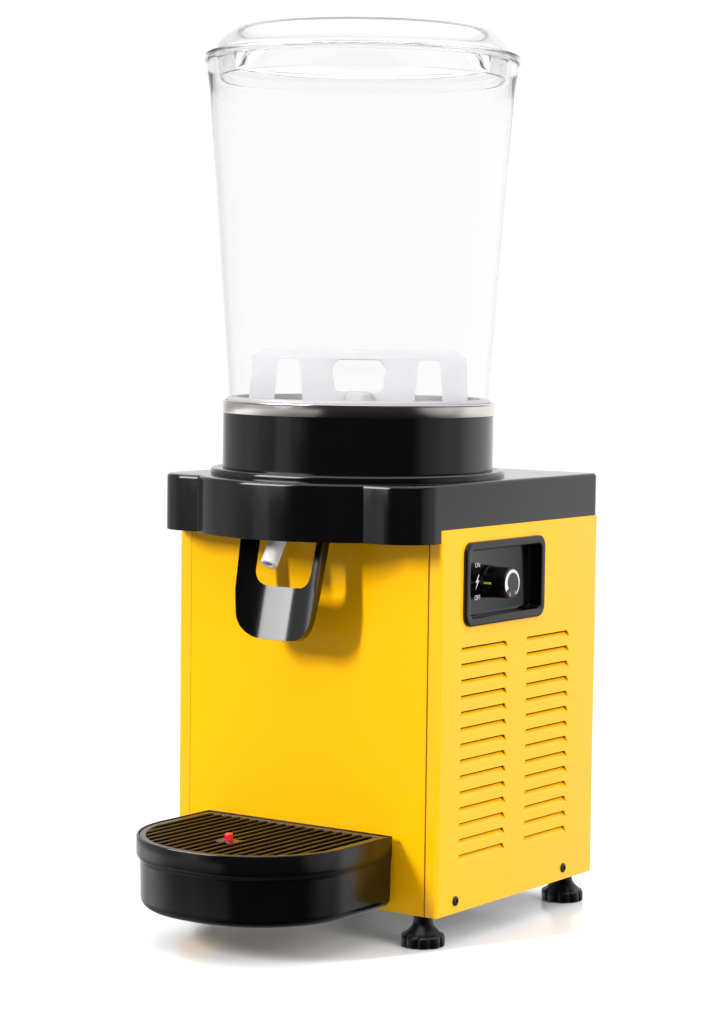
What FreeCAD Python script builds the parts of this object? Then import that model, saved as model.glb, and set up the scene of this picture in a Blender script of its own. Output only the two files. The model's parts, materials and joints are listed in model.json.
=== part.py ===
"""Cold drink dispenser: a clear bowl on a cooled base, with a push lever tap and a drip tray.

Millimetres. X is the width, Y runs from the front panel to the rear, Z is up. The model is drawn
with z = 0 at the lower edge of the panels and y = 0 on the front panel, and every piece is moved
at the end so that the origin is under the middle of the part, where its feet stand.
"""
import FreeCAD, Part
import math
import os
from FreeCAD import Vector

# Cabinet and its sheet metal
cabinet_w = 250.0
cabinet_d = 232.0
panel_h = 294.0
sheet_t = 1.2
bend_r = 2.2
front_flange = 11.0
rear_flange = 14.0
seam = 0.8
panel_return = 10.0
return_lift = 1.0
front_rise = 24.0
lip_w = 12.0
lip_inset = 14.0
pan_t = 1.5
pan_wall = 18.0
pan_gap = 0.2

# Feet
foot_h = 25.0
foot_inset_x = 20.0
foot_inset_y = 12.2
foot_r = 17.2
foot_lobes = 10
foot_lobe_depth = 1.3
foot_knob_h = 9.5
foot_neck_r = 7.5
foot_slope_h = 9.5
foot_slope_w = 3.4
foot_gap = 0.3
stud_r = 4.0
stud_run = 0.05
stud_hole_gap = 0.6
stud_in_knob = 14.0
stud_above_pan = 20.0
nut_af = 13.0
nut_h = 6.5

# Louvres in the side panels
louvre_pitch = 12.3
louvre_z = 44.3
louvre_l = 62.5
louvre_h = 8.0
louvre_slit = 1.2
louvre_depth = 4.0
louvre_front_y = 29.5
louvre_rear_y = 124.0
louvre_bezel_gap = 1.5

# Screws through the panels
screw_z = 9.5
screw_front_y = 25.8
screw_rear_y = 186.0
screw_head_r = 3.8
screw_head_h = 1.6
screw_crown_r = 2.2

# Rear panel
rear_slot_rows = 11
rear_slot_pitch = 13.0
rear_slot_l = 72.0
rear_slot_h = 4.0
rear_slot_z = 50.0
rear_slot_x = 6.0
rear_screw_x = 96.0
rear_screw_drop = 12.0
gland_x = -88.0
gland_z = 26.0
gland_r = 8.0
gland_head_r = 11.0
gland_bore_r = 3.6
gland_inside = 4.0
gland_out = 11.0
gland_nut = 4.0

# Moulded top cover
cover_t = 3.0
cover_side_h = 34.3
cover_front_drop = 9.8
cover_wing = 36.8
cover_corner_r = 30.0
cover_rear_r = 5.0
cover_edge_r = 2.6
bulge_reach = 29.5
bulge_ahead = 15.8
crease_r = 4.0
skirt_gap = 0.5

# Bowl base
bowl_y = 67.5
well_r = 104.0
base_wall = 3.0
collar_r = 116.5
collar_h = 5.2
collar_seat = 2.7
collar_gap = 0.2
base_h = 42.5
base_floor_t = 3.0
band_h = 8.5
dish_t = 1.0
dish_rim_t = 1.0
dish_hub_r = 9.0
coil_h = 6.4
coil_w = 6.0
coil_pitch = 9.0
coil_first_r = 56.0
coil_half_turns = 4
foam_gap = 0.2
foam_bore_r = 38.0
foam_step = 4.0

# Bowl, gasket and lid
gasket_h = 7.5
gasket_r = 104.6
gasket_in_r = 96.5
bowl_seat = 3.0
bowl_wall = 2.6
bowl_foot_r = 102.2
bowl_mid_r = 114.4
bowl_mid_h = 175.0
bowl_neck_r = 119.6
bowl_neck_h = 260.0
bowl_bead_r = 121.8
bowl_bead_slope = 4.0
bowl_h = 270.0
lid_r = 123.8
lid_wall = 2.2
lid_skirt_drop = 4.0
lid_rim_rise = 2.2
lid_rim_edge = 1.3
lid_gap = 0.4
lid_dome_r = 115.4
lid_dome_h = 20.2
lid_flat_r = 98.0
lid_shoulder_rise = 3.6
lid_plug_r = 112.5
lid_plug_drop = 15.0

# Drive and agitator
shaft_r = 4.0
shaft_run = 0.05
shaft_lift = 0.3
hex_af = 6.88
hex_rise = 0.6
hex_head = 0.3
seal_depth = 7.0
motor_step = 4.0
hex_play = 0.2
hex_l = 7.5
seal_flange_r = 13.0
seal_flange_h = 1.6
motor_r = 31.0
motor_h = 56.0
gearbox_h = 16.0
motor_plate_r = 46.0
motor_plate_t = 3.0
motor_screw_af = 7.0
motor_screw_h = 2.4
motor_screw_pcd = 76.0
agitator_half = 86.6
agitator_foot_gap = 3.5
agitator_h = 41.5
agitator_t = 4.0
agitator_corner = 12.0
agitator_turn = 35.0
agitator_hub_r = 10.0
agitator_hub_h = 8.5
agitator_base_bar = 8.5
agitator_mid_window = 43.0
agitator_top_bar = 8.0
agitator_side_in = 44.0
agitator_side_out = 67.0

# Tap
tube_r = 6.6
tube_bore_r = 4.4
tube_tip_y = -48.6
tube_tip_drop = 29.9
tube_lean = 33.7
tube_bend_r = 25.0
tube_hole_gap = 3.0
outlet_r = 91.0
pin_r = 2.5
pin_y = -14.0
pin_rise = 18.0
pin_run = 0.05
pin_head_r = 4.2
pin_head_l = 2.0
lever_t = 5.0
lever_curve_r = 69.0
lever_half = 40.1
lever_waist_half = 38.3
lever_foot_half = 32.8
lever_front_y = -31.4
lever_ref_drop = 11.0
lever_tilt = 14.0
lever_waist_drop = 52.5
lever_foot_drop = 85.5
lever_top_r = 4.0
lever_ref_r = 60.0
lever_waist_r = 76.0
lever_foot_r = 20.5
lever_leg_w = 12.4
lever_sill_in = 2.2
lever_sill_drop = 45.6
lever_sill_r = 12.4
lever_hub_r = 7.5
yoke_t = 4.0
yoke_h = 6.0
yoke_drop = 5.0
yoke_half = 19.5
pinch_gap = 0.3
bracket_t = 2.0
bracket_drop = 7.0
bracket_half = 48.0
bracket_side_gap = 0.5
ear_rise = 6.0
ear_lap = 1.4
anvil_t = 3.0
anvil_h = 10.0
yoke_lap = 3.0
pin_end = 1.5
pin_head_gap = 0.3
spring_r = 4.4
spring_in_r = 2.7
spring_l = 15.0
spring_x = -23.5
spring_leg_r = 0.8
spring_leg_l = 9.0

# Drip tray
tray_half = 88.3
tray_corner_r = 83.3
tray_front = 150.4
tray_top_z = 60.0
tray_h = 55.3
tray_band_h = 13.5
tray_cove_h = 7.0
tray_side_step = 0.9
tray_band_step = 5.8
tray_taper = 0.5
tray_edge_r = 7.5
tray_wall = 2.8
tray_panel_gap = 6.5
grille_t = 3.0
grille_sink = 0.6
grille_gap = 0.5
grille_frame = 5.0
grille_rear_bar = 6.0
slat_pitch = 8.95
slat_w = 2.8
slat_count = 20
ledge_w = 3.4
ledge_t = 2.0
tongue_x = 52.0
tongue_w = 16.0
tongue_l = 38.0
tongue_t = 2.5
tongue_z = 40.0
tongue_gap = 0.4
hanger_gap = 0.6
hanger_half = 66.0
hanger_h = 22.0
float_y = -95.0
float_r = 3.2
float_gap = 0.35
float_top_z = 64.8
float_disc_r = 12.0
float_disc_h = 9.0
float_lift = 0.3
float_boss_w = 2.4

# Control panel on the right side
bezel_front_y = 30.8
bezel_w = 115.6
bezel_drop = 10.9
bezel_h = 64.5
bezel_corner_r = 9.0
bezel_rim = 6.5
bezel_proud = 3.0
bezel_edge_r = 1.2
bezel_depth = 8.0
bezel_t = 2.0
bezel_lap = 3.2
bezel_fit = 0.3
knob_from_bezel_y = 47.2
knob_from_bezel_z = 31.4
knob_r = 12.5
knob_face_r = 12.0
knob_l = 22.0
knob_gap = 0.4
knob_cap_r = 11.2
knob_cap_t = 0.8
knob_shaft_r = 3.0
knob_bore_depth = 14.0
thermostat_w = 34.0
thermostat_l = 26.0

# Refrigeration inside the cabinet
pot_x = -16.0
pot_motor_gap = 10.3
pot_r = 50.0
pot_z = 14.0
pot_h = 118.0
pot_dome = 26.0
pot_plate_half = 62.0
pot_plate_t = 2.0
grommet_r = 8.0
condenser_half = 92.0
condenser_z = 20.0
condenser_h = 176.0
condenser_d = 34.0
condenser_back = 4.0
fin_pitch = 8.0
fin_groove = 5.0
fin_depth = 6.0
fan_x = 0.0
fan_z = 104.0
fan_r = 66.0
fan_tip_gap = 3.0
fan_hub_r = 16.0
fan_hub_l = 10.0
fan_blades = 5
fan_pitch_deg = 28.0
fan_shaft_r = 2.5
shroud_t = 1.5
shroud_d = 14.0
fan_motor_r = 22.0
fan_motor_l = 30.0
fan_motor_gap = 6.0
fan_plate_gap = 1.0
fan_shaft_in = 11.5
fan_bore_depth = 12.0
strut_w = 8.0
drier_r = 10.0
drier_l = 90.0
drier_cone = 8.0
drier_gap = 0.2
pipe_r = 3.2

base_z = panel_h + cover_side_h
bulge_y = bowl_y - bulge_ahead
bulge_r = bulge_y + cover_wing + bulge_reach
rear_screw_z = panel_h - rear_screw_drop
bezel_low_z = panel_h - bezel_drop - bezel_h
louvre_rows = int((bezel_low_z - louvre_bezel_gap - louvre_z) / louvre_pitch)
half_w = cabinet_w / 2
inner_half = half_w - sheet_t
bowl_floor_z = base_z + collar_seat + base_h
band_top_z = bowl_floor_z + band_h
gasket_top_z = band_top_z + gasket_h
bowl_foot_z = band_top_z + bowl_seat
bowl_mid_z = bowl_foot_z + bowl_mid_h
bowl_neck_z = bowl_foot_z + bowl_neck_h
bowl_top_z = bowl_foot_z + bowl_h
lid_rim_z = bowl_top_z + lid_rim_rise
lid_skirt_z = bowl_top_z - lid_skirt_drop
lid_plug_z = bowl_top_z - lid_plug_drop
lid_top_z = lid_rim_z + lid_rim_edge + lid_dome_h
tube_tip_z = panel_h - tube_tip_drop
pin_z = panel_h + pin_rise
lever_ref_z = panel_h - lever_ref_drop
lever_waist_z = panel_h - lever_waist_drop
lever_foot_z = panel_h - lever_foot_drop
lever_sill_z = panel_h - lever_sill_drop
yoke_z = panel_h - yoke_drop
bracket_z = panel_h - bracket_drop
knob_y = bezel_front_y + knob_from_bezel_y
knob_z = bezel_low_z + knob_from_bezel_z
condenser_front = cabinet_d - sheet_t - condenser_back - condenser_d
fan_hub_back = condenser_front - shroud_t - fan_plate_gap
fan_motor_back = fan_hub_back - fan_hub_l - fan_motor_gap
pot_y = fan_motor_back - fan_motor_l - pot_motor_gap - pot_r
tray_bottom_z = tray_top_z - tray_h
knob_floor_x = half_w - bezel_depth
knob_face_x = knob_floor_x + knob_gap + knob_l
origin_x = (knob_face_x - half_w - screw_head_h) / 2
origin_y = (cabinet_d + gland_out - tray_front) / 2
shift = Vector(-origin_x, -origin_y, foot_h)

nodes = {}


def keep(name, *shapes):
    """Store a node made of one or more separate solids."""
    solids = [solid for shape in shapes for solid in shape.Solids]
    nodes[name] = solids[0] if len(solids) == 1 else Part.makeCompound(solids)


def box(x0, x1, y0, y1, z0, z1):
    return Part.makeBox(x1 - x0, y1 - y0, z1 - z0, Vector(x0, y0, z0))


def rod(x, y, z, radius, length, direction=(0, 0, 1)):
    return Part.makeCylinder(radius, length, Vector(x, y, z), Vector(*direction))


def join(first, *others):
    return first.fuse(list(others)).removeSplitter()


def turned(points, x=0.0, y=0.0, z=0.0):
    """Turn a closed (radius, height) outline about a vertical axis; a triple is an arc's middle."""
    edges = []
    start = points[0]
    middle = None
    for point in points[1:] + points[:1]:
        if len(point) == 3:
            middle = point
            continue
        ends = [Vector(start[0], 0, start[1]), Vector(point[0], 0, point[1])]
        if middle is None:
            edges.append(Part.makeLine(*ends))
        else:
            edges.append(Part.Arc(ends[0], Vector(middle[0], 0, middle[1]), ends[1]).toShape())
        middle = None
        start = point
    solid = Part.Face(Part.Wire(edges)).revolve(Vector(0, 0, 0), Vector(0, 0, 1), 360)
    solid.translate(Vector(x, y, z))
    return solid


def mid_of(a, b, bulge):
    """Middle point of an arc between two outline points that bows out to the right of the way."""
    length = math.hypot(b[0] - a[0], b[1] - a[1])
    side = ((b[1] - a[1]) / length, -(b[0] - a[0]) / length)
    return ((a[0] + b[0]) / 2 + bulge * side[0], (a[1] + b[1]) / 2 + bulge * side[1], "arc")


def filleted_outline(corners):
    """Closed plan wire at z = 0 through (x, y, radius) corners, each with its own rounding."""
    count = len(corners)
    starts, ends, arcs = [], [], []
    for i, (x, y, radius) in enumerate(corners):
        here = Vector(x, y, 0)
        to_prev = (Vector(*corners[i - 1][:2], 0) - here).normalize()
        to_next = (Vector(*corners[(i + 1) % count][:2], 0) - here).normalize()
        half = to_prev.getAngle(to_next) / 2
        if radius <= 0 or abs(half - math.pi / 2) < 1e-6:
            starts.append(here)
            ends.append(here)
            arcs.append(None)
            continue
        reach = radius / math.tan(half)
        start = here + to_prev * reach
        end = here + to_next * reach
        bisector = (to_prev + to_next).normalize()
        middle = here + bisector * (radius / math.sin(half) - radius)
        starts.append(start)
        ends.append(end)
        arcs.append(Part.Arc(start, middle, end).toShape())
    edges = []
    for i in range(count):
        if arcs[i] is not None:
            edges.append(arcs[i])
        following = starts[(i + 1) % count]
        if (ends[i] - following).Length > 1e-6:
            edges.append(Part.makeLine(ends[i], following))
    return Part.Wire(edges)


def prism(wire, z0, z1):
    face = Part.Face(wire)
    face.translate(Vector(0, 0, z0))
    return face.extrude(Vector(0, 0, z1 - z0))


def placed(shape, x_dir, y_dir, z_dir, at):
    """Carry a shape drawn in its own X, Y and Z to three directions and a point of the model."""
    matrix = FreeCAD.Matrix(x_dir.x, y_dir.x, z_dir.x, at.x,
                            x_dir.y, y_dir.y, z_dir.y, at.y,
                            x_dir.z, y_dir.z, z_dir.z, at.z, 0, 0, 0, 1)
    copy = shape.copy()
    copy.transformShape(matrix)
    return copy


def mirrored(shape):
    return shape.mirror(Vector(0, 0, 0), Vector(1, 0, 0))


def hexagon(across_flats, x, y, z0, z1):
    radius = across_flats / math.sqrt(3)
    corners = [(x + radius * math.cos(math.radians(60 * i)),
                y + radius * math.sin(math.radians(60 * i)), 0) for i in range(6)]
    return prism(filleted_outline(corners), z0, z1)


foot_spots = [(side * (half_w - foot_inset_x), y)
              for y in (foot_inset_y, cabinet_d - foot_inset_y) for side in (-1, 1)]
foot_names = ["front_left", "front_right", "rear_left", "rear_right"]


def make_base_pan():
    """Folded steel pan that carries the feet, the compressor and the condenser."""
    low_y = sheet_t + pan_gap
    high_y = cabinet_d - sheet_t - pan_gap
    half = inner_half - pan_gap
    bend = bend_r - sheet_t
    pan = prism(filleted_outline([(-half, low_y, bend), (half, low_y, bend),
                                  (half, high_y, bend), (-half, high_y, bend)]), 0, pan_wall)
    hollow = box(-half + pan_t, half - pan_t, low_y + pan_t, high_y - pan_t, pan_t, pan_wall)
    pan = pan.cut(hollow)
    holes = [rod(x, y, -1, stud_r + stud_hole_gap, pan_t + 2) for x, y in foot_spots]
    keep("base_pan", pan.cut(holes))
    nuts = [hexagon(nut_af, x, y, pan_t, pan_t + nut_h).cut(
        rod(x, y, 0, stud_r + stud_run, pan_t + nut_h + 1)) for x, y in foot_spots]
    keep("foot_nuts", *nuts)


def make_feet():
    """Levelling feet: a lobed moulded knob on a threaded stud, turned to raise a corner."""
    knob_top = -foot_h + foot_knob_h
    outline = [(0.0, -foot_h), (foot_r, -foot_h), (foot_r, knob_top)]
    neck_z = knob_top + foot_slope_h
    outline += [(foot_neck_r + foot_slope_w, knob_top + foot_slope_h * 0.45), (foot_neck_r, neck_z),
                (foot_neck_r, -foot_gap), (0.0, -foot_gap)]
    knob = turned(outline)
    lobe_r = math.pi * foot_r / foot_lobes * 0.5
    for i in range(foot_lobes):
        angle = 2 * math.pi * i / foot_lobes
        reach = foot_r + lobe_r - foot_lobe_depth
        knob = knob.cut(rod(reach * math.cos(angle), reach * math.sin(angle), -foot_h - 1,
                            lobe_r, foot_knob_h + foot_slope_h))
    knob = knob.cut(rod(0, 0, -foot_gap - stud_in_knob, stud_r, stud_in_knob + 1))
    stud = rod(0, 0, -foot_gap - stud_in_knob, stud_r, stud_in_knob + foot_gap + pan_t + stud_above_pan)
    for name, (x, y) in zip(foot_names, foot_spots):
        for node, shape in (("foot_" + name, knob), ("foot_stud_" + name, stud)):
            copy = shape.copy()
            copy.translate(Vector(x, y, 0))
            keep(node, copy)


def make_louvre(y0, z0):
    """One pressed tongue with its two end walls, hinged at its lower edge, in the right panel."""
    out = half_w
    inner = out - sheet_t
    top = z0 + louvre_h
    deep = out - louvre_depth
    tongue = Part.makePolygon([Vector(out, y0, z0), Vector(deep, y0, top),
                               Vector(deep - sheet_t, y0, top), Vector(inner, y0, z0),
                               Vector(out, y0, z0)])
    tongue = Part.Face(tongue).extrude(Vector(0, louvre_l, 0))
    cheek = Part.makePolygon([Vector(out, y0, z0), Vector(out, y0, top),
                              Vector(deep - sheet_t, y0, top), Vector(inner, y0, z0),
                              Vector(out, y0, z0)])
    near = Part.Face(cheek).extrude(Vector(0, sheet_t, 0))
    far = near.copy()
    far.translate(Vector(0, louvre_l - sheet_t, 0))
    return tongue.fuse([near, far])


def make_side_panels():
    """Right and left panels: a channel in plan, with two columns of pressed louvres."""
    rear = cabinet_d
    inner_bend = bend_r - sheet_t
    corners = [(half_w - front_flange, 0, 0), (half_w, 0, bend_r), (half_w, rear, bend_r),
               (half_w - rear_flange, rear, 0), (half_w - rear_flange, rear - sheet_t, 0),
               (inner_half, rear - sheet_t, inner_bend), (inner_half, sheet_t, inner_bend),
               (half_w - front_flange, sheet_t, 0)]
    panel = prism(filleted_outline(corners), 0, panel_h)
    lip = box(inner_half - lip_w, inner_half, lip_inset, rear - lip_inset,
              panel_h - sheet_t, panel_h)
    windows, louvres = [], []
    for row in range(louvre_rows):
        z0 = louvre_z + row * louvre_pitch
        for y0 in (louvre_front_y, louvre_rear_y):
            windows.append(box(inner_half - 1, half_w + 1, y0, y0 + louvre_l,
                               z0, z0 + louvre_h + louvre_slit))
            louvres.append(make_louvre(y0, z0))
    panel = panel.cut(windows)
    panel = join(panel, lip, *louvres)
    keep("left_side_panel", mirrored(panel))
    keep("right_side_panel", panel.cut(bezel_prism(bezel_lap, inner_half - 1, half_w + 1)))
    screws = []
    for side in (-1, 1):
        for y in (screw_front_y, screw_rear_y):
            screws.append(placed(panel_screw(), Vector(0, 1, 0), Vector(0, 0, side),
                                 Vector(side, 0, 0), Vector(side * half_w, y, screw_z)))
    keep("side_screws", *screws)


def panel_screw():
    """Raised screw head with its seat at z = 0 and its crown up along Z."""
    return turned([(0.0, 0.0), (screw_head_r, 0.0), (screw_head_r, screw_head_h / 2),
                   (screw_crown_r, screw_head_h), (0.0, screw_head_h)])


def bezel_prism(inset, x0, x1):
    """Rounded block on the right side panel, inset from the bezel's outline."""
    radius = max(bezel_corner_r - inset, 1.5)
    y0, y1 = bezel_front_y + inset, bezel_front_y + bezel_w - inset
    z0, z1 = bezel_low_z + inset, bezel_low_z + bezel_h - inset
    block = prism(filleted_outline([(y0, z0, radius), (y1, z0, radius), (y1, z1, radius),
                                    (y0, z1, radius)]), x0, x1)
    return placed(block, Vector(0, 1, 0), Vector(0, 0, 1), Vector(1, 0, 0), Vector(0, 0, 0))


def make_front_and_rear_panels():
    """Front panel that runs up inside the cover, and a slotted rear panel, each a shallow tray."""
    half = half_w - front_flange - seam
    inner_bend = bend_r - sheet_t
    deep = sheet_t + panel_return
    plate = box(-half, half, 0, sheet_t, 0, panel_h + front_rise)
    corners = [(-half, 0, 0), (half, 0, 0), (half, deep, 0), (half - sheet_t, deep, 0),
               (half - sheet_t, sheet_t, inner_bend), (-half + sheet_t, sheet_t, inner_bend),
               (-half + sheet_t, deep, 0), (-half, deep, 0)]
    returns = prism(filleted_outline(corners), pan_wall + return_lift,
                    panel_h - sheet_t - return_lift)
    front = join(plate, returns)
    keep("front_panel", front)
    half = half_w - rear_flange - seam
    low, high = cabinet_d - sheet_t, cabinet_d
    rear = box(-half, half, low, high, 0, panel_h)
    cuts = []
    for row in range(rear_slot_rows):
        z0 = rear_slot_z + row * rear_slot_pitch
        for side in (-1, 1):
            x0 = rear_slot_x if side > 0 else -rear_slot_x - rear_slot_l
            cuts.append(box(x0, x0 + rear_slot_l, low - 1, high + 1, z0, z0 + rear_slot_h))
    cuts.append(rod(gland_x, low - 1, gland_z, gland_r, sheet_t + 2, (0, 1, 0)))
    keep("rear_panel", rear.cut(cuts))
    screws = []
    for side in (-1, 1):
        for z in (screw_z, rear_screw_z):
            screws.append(placed(panel_screw(), Vector(1, 0, 0), Vector(0, 0, -1),
                                 Vector(0, 1, 0), Vector(side * rear_screw_x, cabinet_d, z)))
    keep("rear_screws", *screws)
    gland = turned([(gland_bore_r, -gland_inside), (gland_r, -gland_inside), (gland_r, 0.0),
                    (gland_head_r, 0.0), (gland_head_r, gland_nut), (gland_r - 1.5, gland_out),
                    (gland_bore_r, gland_out)])
    keep("cord_gland", placed(gland, Vector(1, 0, 0), Vector(0, 0, -1), Vector(0, 1, 0),
                              Vector(gland_x, cabinet_d, gland_z)))


def cover_outline(inset):
    """Plan of the cover: straight sides, rounded wings and a round bulge about the bowl."""
    half = half_w - inset
    front = -(cover_wing - inset)
    rear = cabinet_d - inset
    corner = max(cover_corner_r - inset, 1.0)
    back_r = max(cover_rear_r - inset, 1.0)
    radius = bulge_r - inset
    crease = crease_r + inset
    # The crease arc touches the wing's front line and the bulge from outside.
    away = bulge_y - (front - crease)
    crease_x = math.sqrt((radius + crease) ** 2 - away ** 2)
    angle = math.atan2(away, crease_x)
    touch = Vector(radius * math.cos(angle), bulge_y - radius * math.sin(angle), 0)
    centre = Vector(crease_x, front - crease, 0)
    crease_mid = centre + ((touch - centre).normalize()
                           + Vector(0, 1, 0)).normalize() * crease
    right = [Vector(crease_x, front, 0), Vector(half - corner, front, 0)]
    turn = corner * math.sqrt(0.5)
    back_turn = back_r * math.sqrt(0.5)
    side = [Vector(half, front + corner, 0), Vector(half, rear - back_r, 0)]
    rear_pt = Vector(half - back_r, rear, 0)

    def flip(point):
        return Vector(-point.x, point.y, point.z)

    def half_edges(turned_over):
        way = flip if turned_over else (lambda point: point)
        return [
            Part.Arc(way(touch), way(crease_mid), way(right[0])).toShape(),
            Part.makeLine(way(right[0]), way(right[1])),
            Part.Arc(way(right[1]), way(Vector(half - corner + turn, front + corner - turn, 0)),
                     way(side[0])).toShape(),
            Part.makeLine(way(side[0]), way(side[1])),
            Part.Arc(way(side[1]), way(Vector(half - back_r + back_turn,
                                              rear - back_r + back_turn, 0)),
                     way(rear_pt)).toShape()]

    bulge = Part.Arc(flip(touch), Vector(0, bulge_y - radius, 0), touch).toShape()
    edges = [bulge] + half_edges(False) + [Part.makeLine(rear_pt, flip(rear_pt))]
    edges += half_edges(True)
    return Part.Wire(Part.__sortEdges__(edges))


def make_top_cover():
    """Moulded cover: one shell over the cabinet with a deeper skirt in front of the panels."""
    low = panel_h
    skirt = panel_h - cover_front_drop
    outer = prism(cover_outline(0), low, base_z)
    top_edges = [edge for edge in outer.Edges
                 if abs(edge.BoundBox.ZMin - base_z) < 1e-6 and edge.BoundBox.ZLength < 1e-6]
    outer = outer.makeFillet(cover_edge_r, top_edges)
    front_box = box(-half_w - 1, half_w + 1, -bulge_r, -skirt_gap, skirt - 1, low)
    front = prism(cover_outline(0), skirt, low).common(front_box)
    cavity = prism(cover_outline(cover_t), skirt - 1, base_z - cover_t)
    well = rod(0, bowl_y, low, well_r, cover_side_h + 5)
    cover = join(outer, front).cut([cavity, well])
    keep("top_cover", cover)


def make_bowl_base():
    """Collar on the cover and the foamed bucket under the bowl, with the cooled dish on top."""
    seat = base_z
    bucket_z = base_z + collar_seat
    inner = well_r + base_wall + collar_gap
    collar = turned([(well_r, seat), (collar_r, seat), (collar_r - 0.8, seat + collar_h * 0.6),
                     (collar_r - 4.0, seat + collar_h), (inner, seat + collar_h),
                     (inner, bucket_z), (well_r, bucket_z)], 0, bowl_y)
    keep("bowl_collar", collar)
    wall_r = well_r + base_wall
    bucket = turned([(0.0, bucket_z), (wall_r, bucket_z), (wall_r, bowl_floor_z),
                     (well_r, bowl_floor_z), (well_r, bucket_z + base_floor_t),
                     (0.0, bucket_z + base_floor_t)], 0, bowl_y)
    tube_y = bowl_y - outlet_r
    cuts = [rod(0, bowl_y, bucket_z - 1, shaft_r + 6, base_floor_t + 2),
            rod(0, tube_y, bucket_z - 1, tube_r + tube_hole_gap, base_floor_t + 2)]
    keep("evaporator_housing", bucket.cut(cuts))
    dish_under = band_top_z - dish_t
    rim_r = wall_r + 0.3
    dish = turned([(dish_hub_r, dish_under), (rim_r - dish_rim_t, dish_under),
                   (rim_r - dish_rim_t, bowl_floor_z), (rim_r, bowl_floor_z),
                   (rim_r, band_top_z - 0.8), (rim_r - 0.8, band_top_z),
                   (dish_hub_r, band_top_z)], 0, bowl_y)
    stub = rod(0, tube_y, bowl_floor_z - 6, tube_bore_r, dish_under - bowl_floor_z + 6)
    dish = join(dish, stub).cut(rod(0, tube_y, bowl_floor_z - 7, tube_bore_r - 1,
                                    band_h + 10))
    keep("evaporator_dish", dish)
    foam_z = bucket_z + base_floor_t
    foam = turned([(foam_bore_r, foam_z), (well_r - foam_gap, foam_z),
                   (well_r - foam_gap, dish_under - coil_h), (foam_bore_r, dish_under - coil_h)],
                  0, bowl_y)
    foam = foam.cut(rod(0, tube_y, foam_z - 1, tube_r + foam_step, dish_under - foam_z + 1))
    keep("foam_ring", foam)
    coil = None
    for i in range(coil_half_turns):
        radius = coil_first_r + i * coil_pitch / 2
        sense = 1 if i % 2 == 0 else -1
        centre = bowl_y
        offset = coil_pitch / 2 if i % 2 else 0.0
        ring = half_ring(offset, centre, radius, coil_w, sense)
        coil = ring if coil is None else coil.fuse(ring)
    coil.translate(Vector(0, 0, dish_under - coil_h))
    keep("evaporator_coil", coil.removeSplitter())


def half_ring(offset_x, centre_y, radius, width, sense):
    """Half of a flat ring in plan, on the +Y or -Y side, its centre moved along X."""
    outer = radius + width
    start, end = Vector(offset_x + radius, centre_y, 0), Vector(offset_x - radius, centre_y, 0)
    big_start = Vector(offset_x + outer, centre_y, 0)
    big_end = Vector(offset_x - outer, centre_y, 0)
    edges = [Part.Arc(start, Vector(offset_x, centre_y + sense * radius, 0), end).toShape(),
             Part.makeLine(end, big_end),
             Part.Arc(big_end, Vector(offset_x, centre_y + sense * outer, 0), big_start).toShape(),
             Part.makeLine(big_start, start)]
    return Part.Face(Part.Wire(edges)).extrude(Vector(0, 0, coil_h))


def make_drive():
    """Gear motor under the bucket, its plate and screws, the shaft seal and the drive shaft."""
    bucket_z = base_z + collar_seat
    plate_top = bucket_z
    plate = turned([(shaft_r + 6, plate_top - motor_plate_t), (motor_plate_r, plate_top - motor_plate_t),
                    (motor_plate_r, plate_top), (shaft_r + 6, plate_top)], 0, bowl_y)
    keep("motor_plate", plate)
    low = plate_top - motor_plate_t
    angles = [math.radians(45 + 90 * i) for i in range(4)]
    keep("motor_screws", *[hexagon(motor_screw_af, motor_screw_pcd / 2 * math.cos(angle),
                                   bowl_y + motor_screw_pcd / 2 * math.sin(angle),
                                   low - motor_screw_h, low) for angle in angles])
    gear_top = plate_top - motor_plate_t
    motor = turned([(shaft_r + shaft_run, gear_top - gearbox_h), (motor_r, gear_top - gearbox_h),
                    (motor_r, gear_top), (shaft_r + shaft_run, gear_top)], 0, bowl_y)
    can = rod(0, bowl_y, gear_top - gearbox_h - motor_h, motor_r - motor_step, motor_h)
    keep("agitator_motor", join(motor, can))
    dish_under = band_top_z - dish_t
    seal = turned([(shaft_r + shaft_run, dish_under - seal_depth),
                   (dish_hub_r, dish_under - seal_depth),
                   (dish_hub_r, band_top_z), (seal_flange_r, band_top_z),
                   (seal_flange_r, band_top_z + seal_flange_h),
                   (shaft_r + shaft_run, band_top_z + seal_flange_h)], 0, bowl_y)
    keep("shaft_seal", seal)
    hex_z = band_top_z + seal_flange_h + hex_rise
    foot = gear_top - gearbox_h + shaft_lift
    shaft = join(rod(0, bowl_y, foot, shaft_r, hex_z - foot),
                 hexagon(hex_af, 0, bowl_y, hex_z, hex_z + hex_l))
    keep("drive_shaft", shaft)


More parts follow.
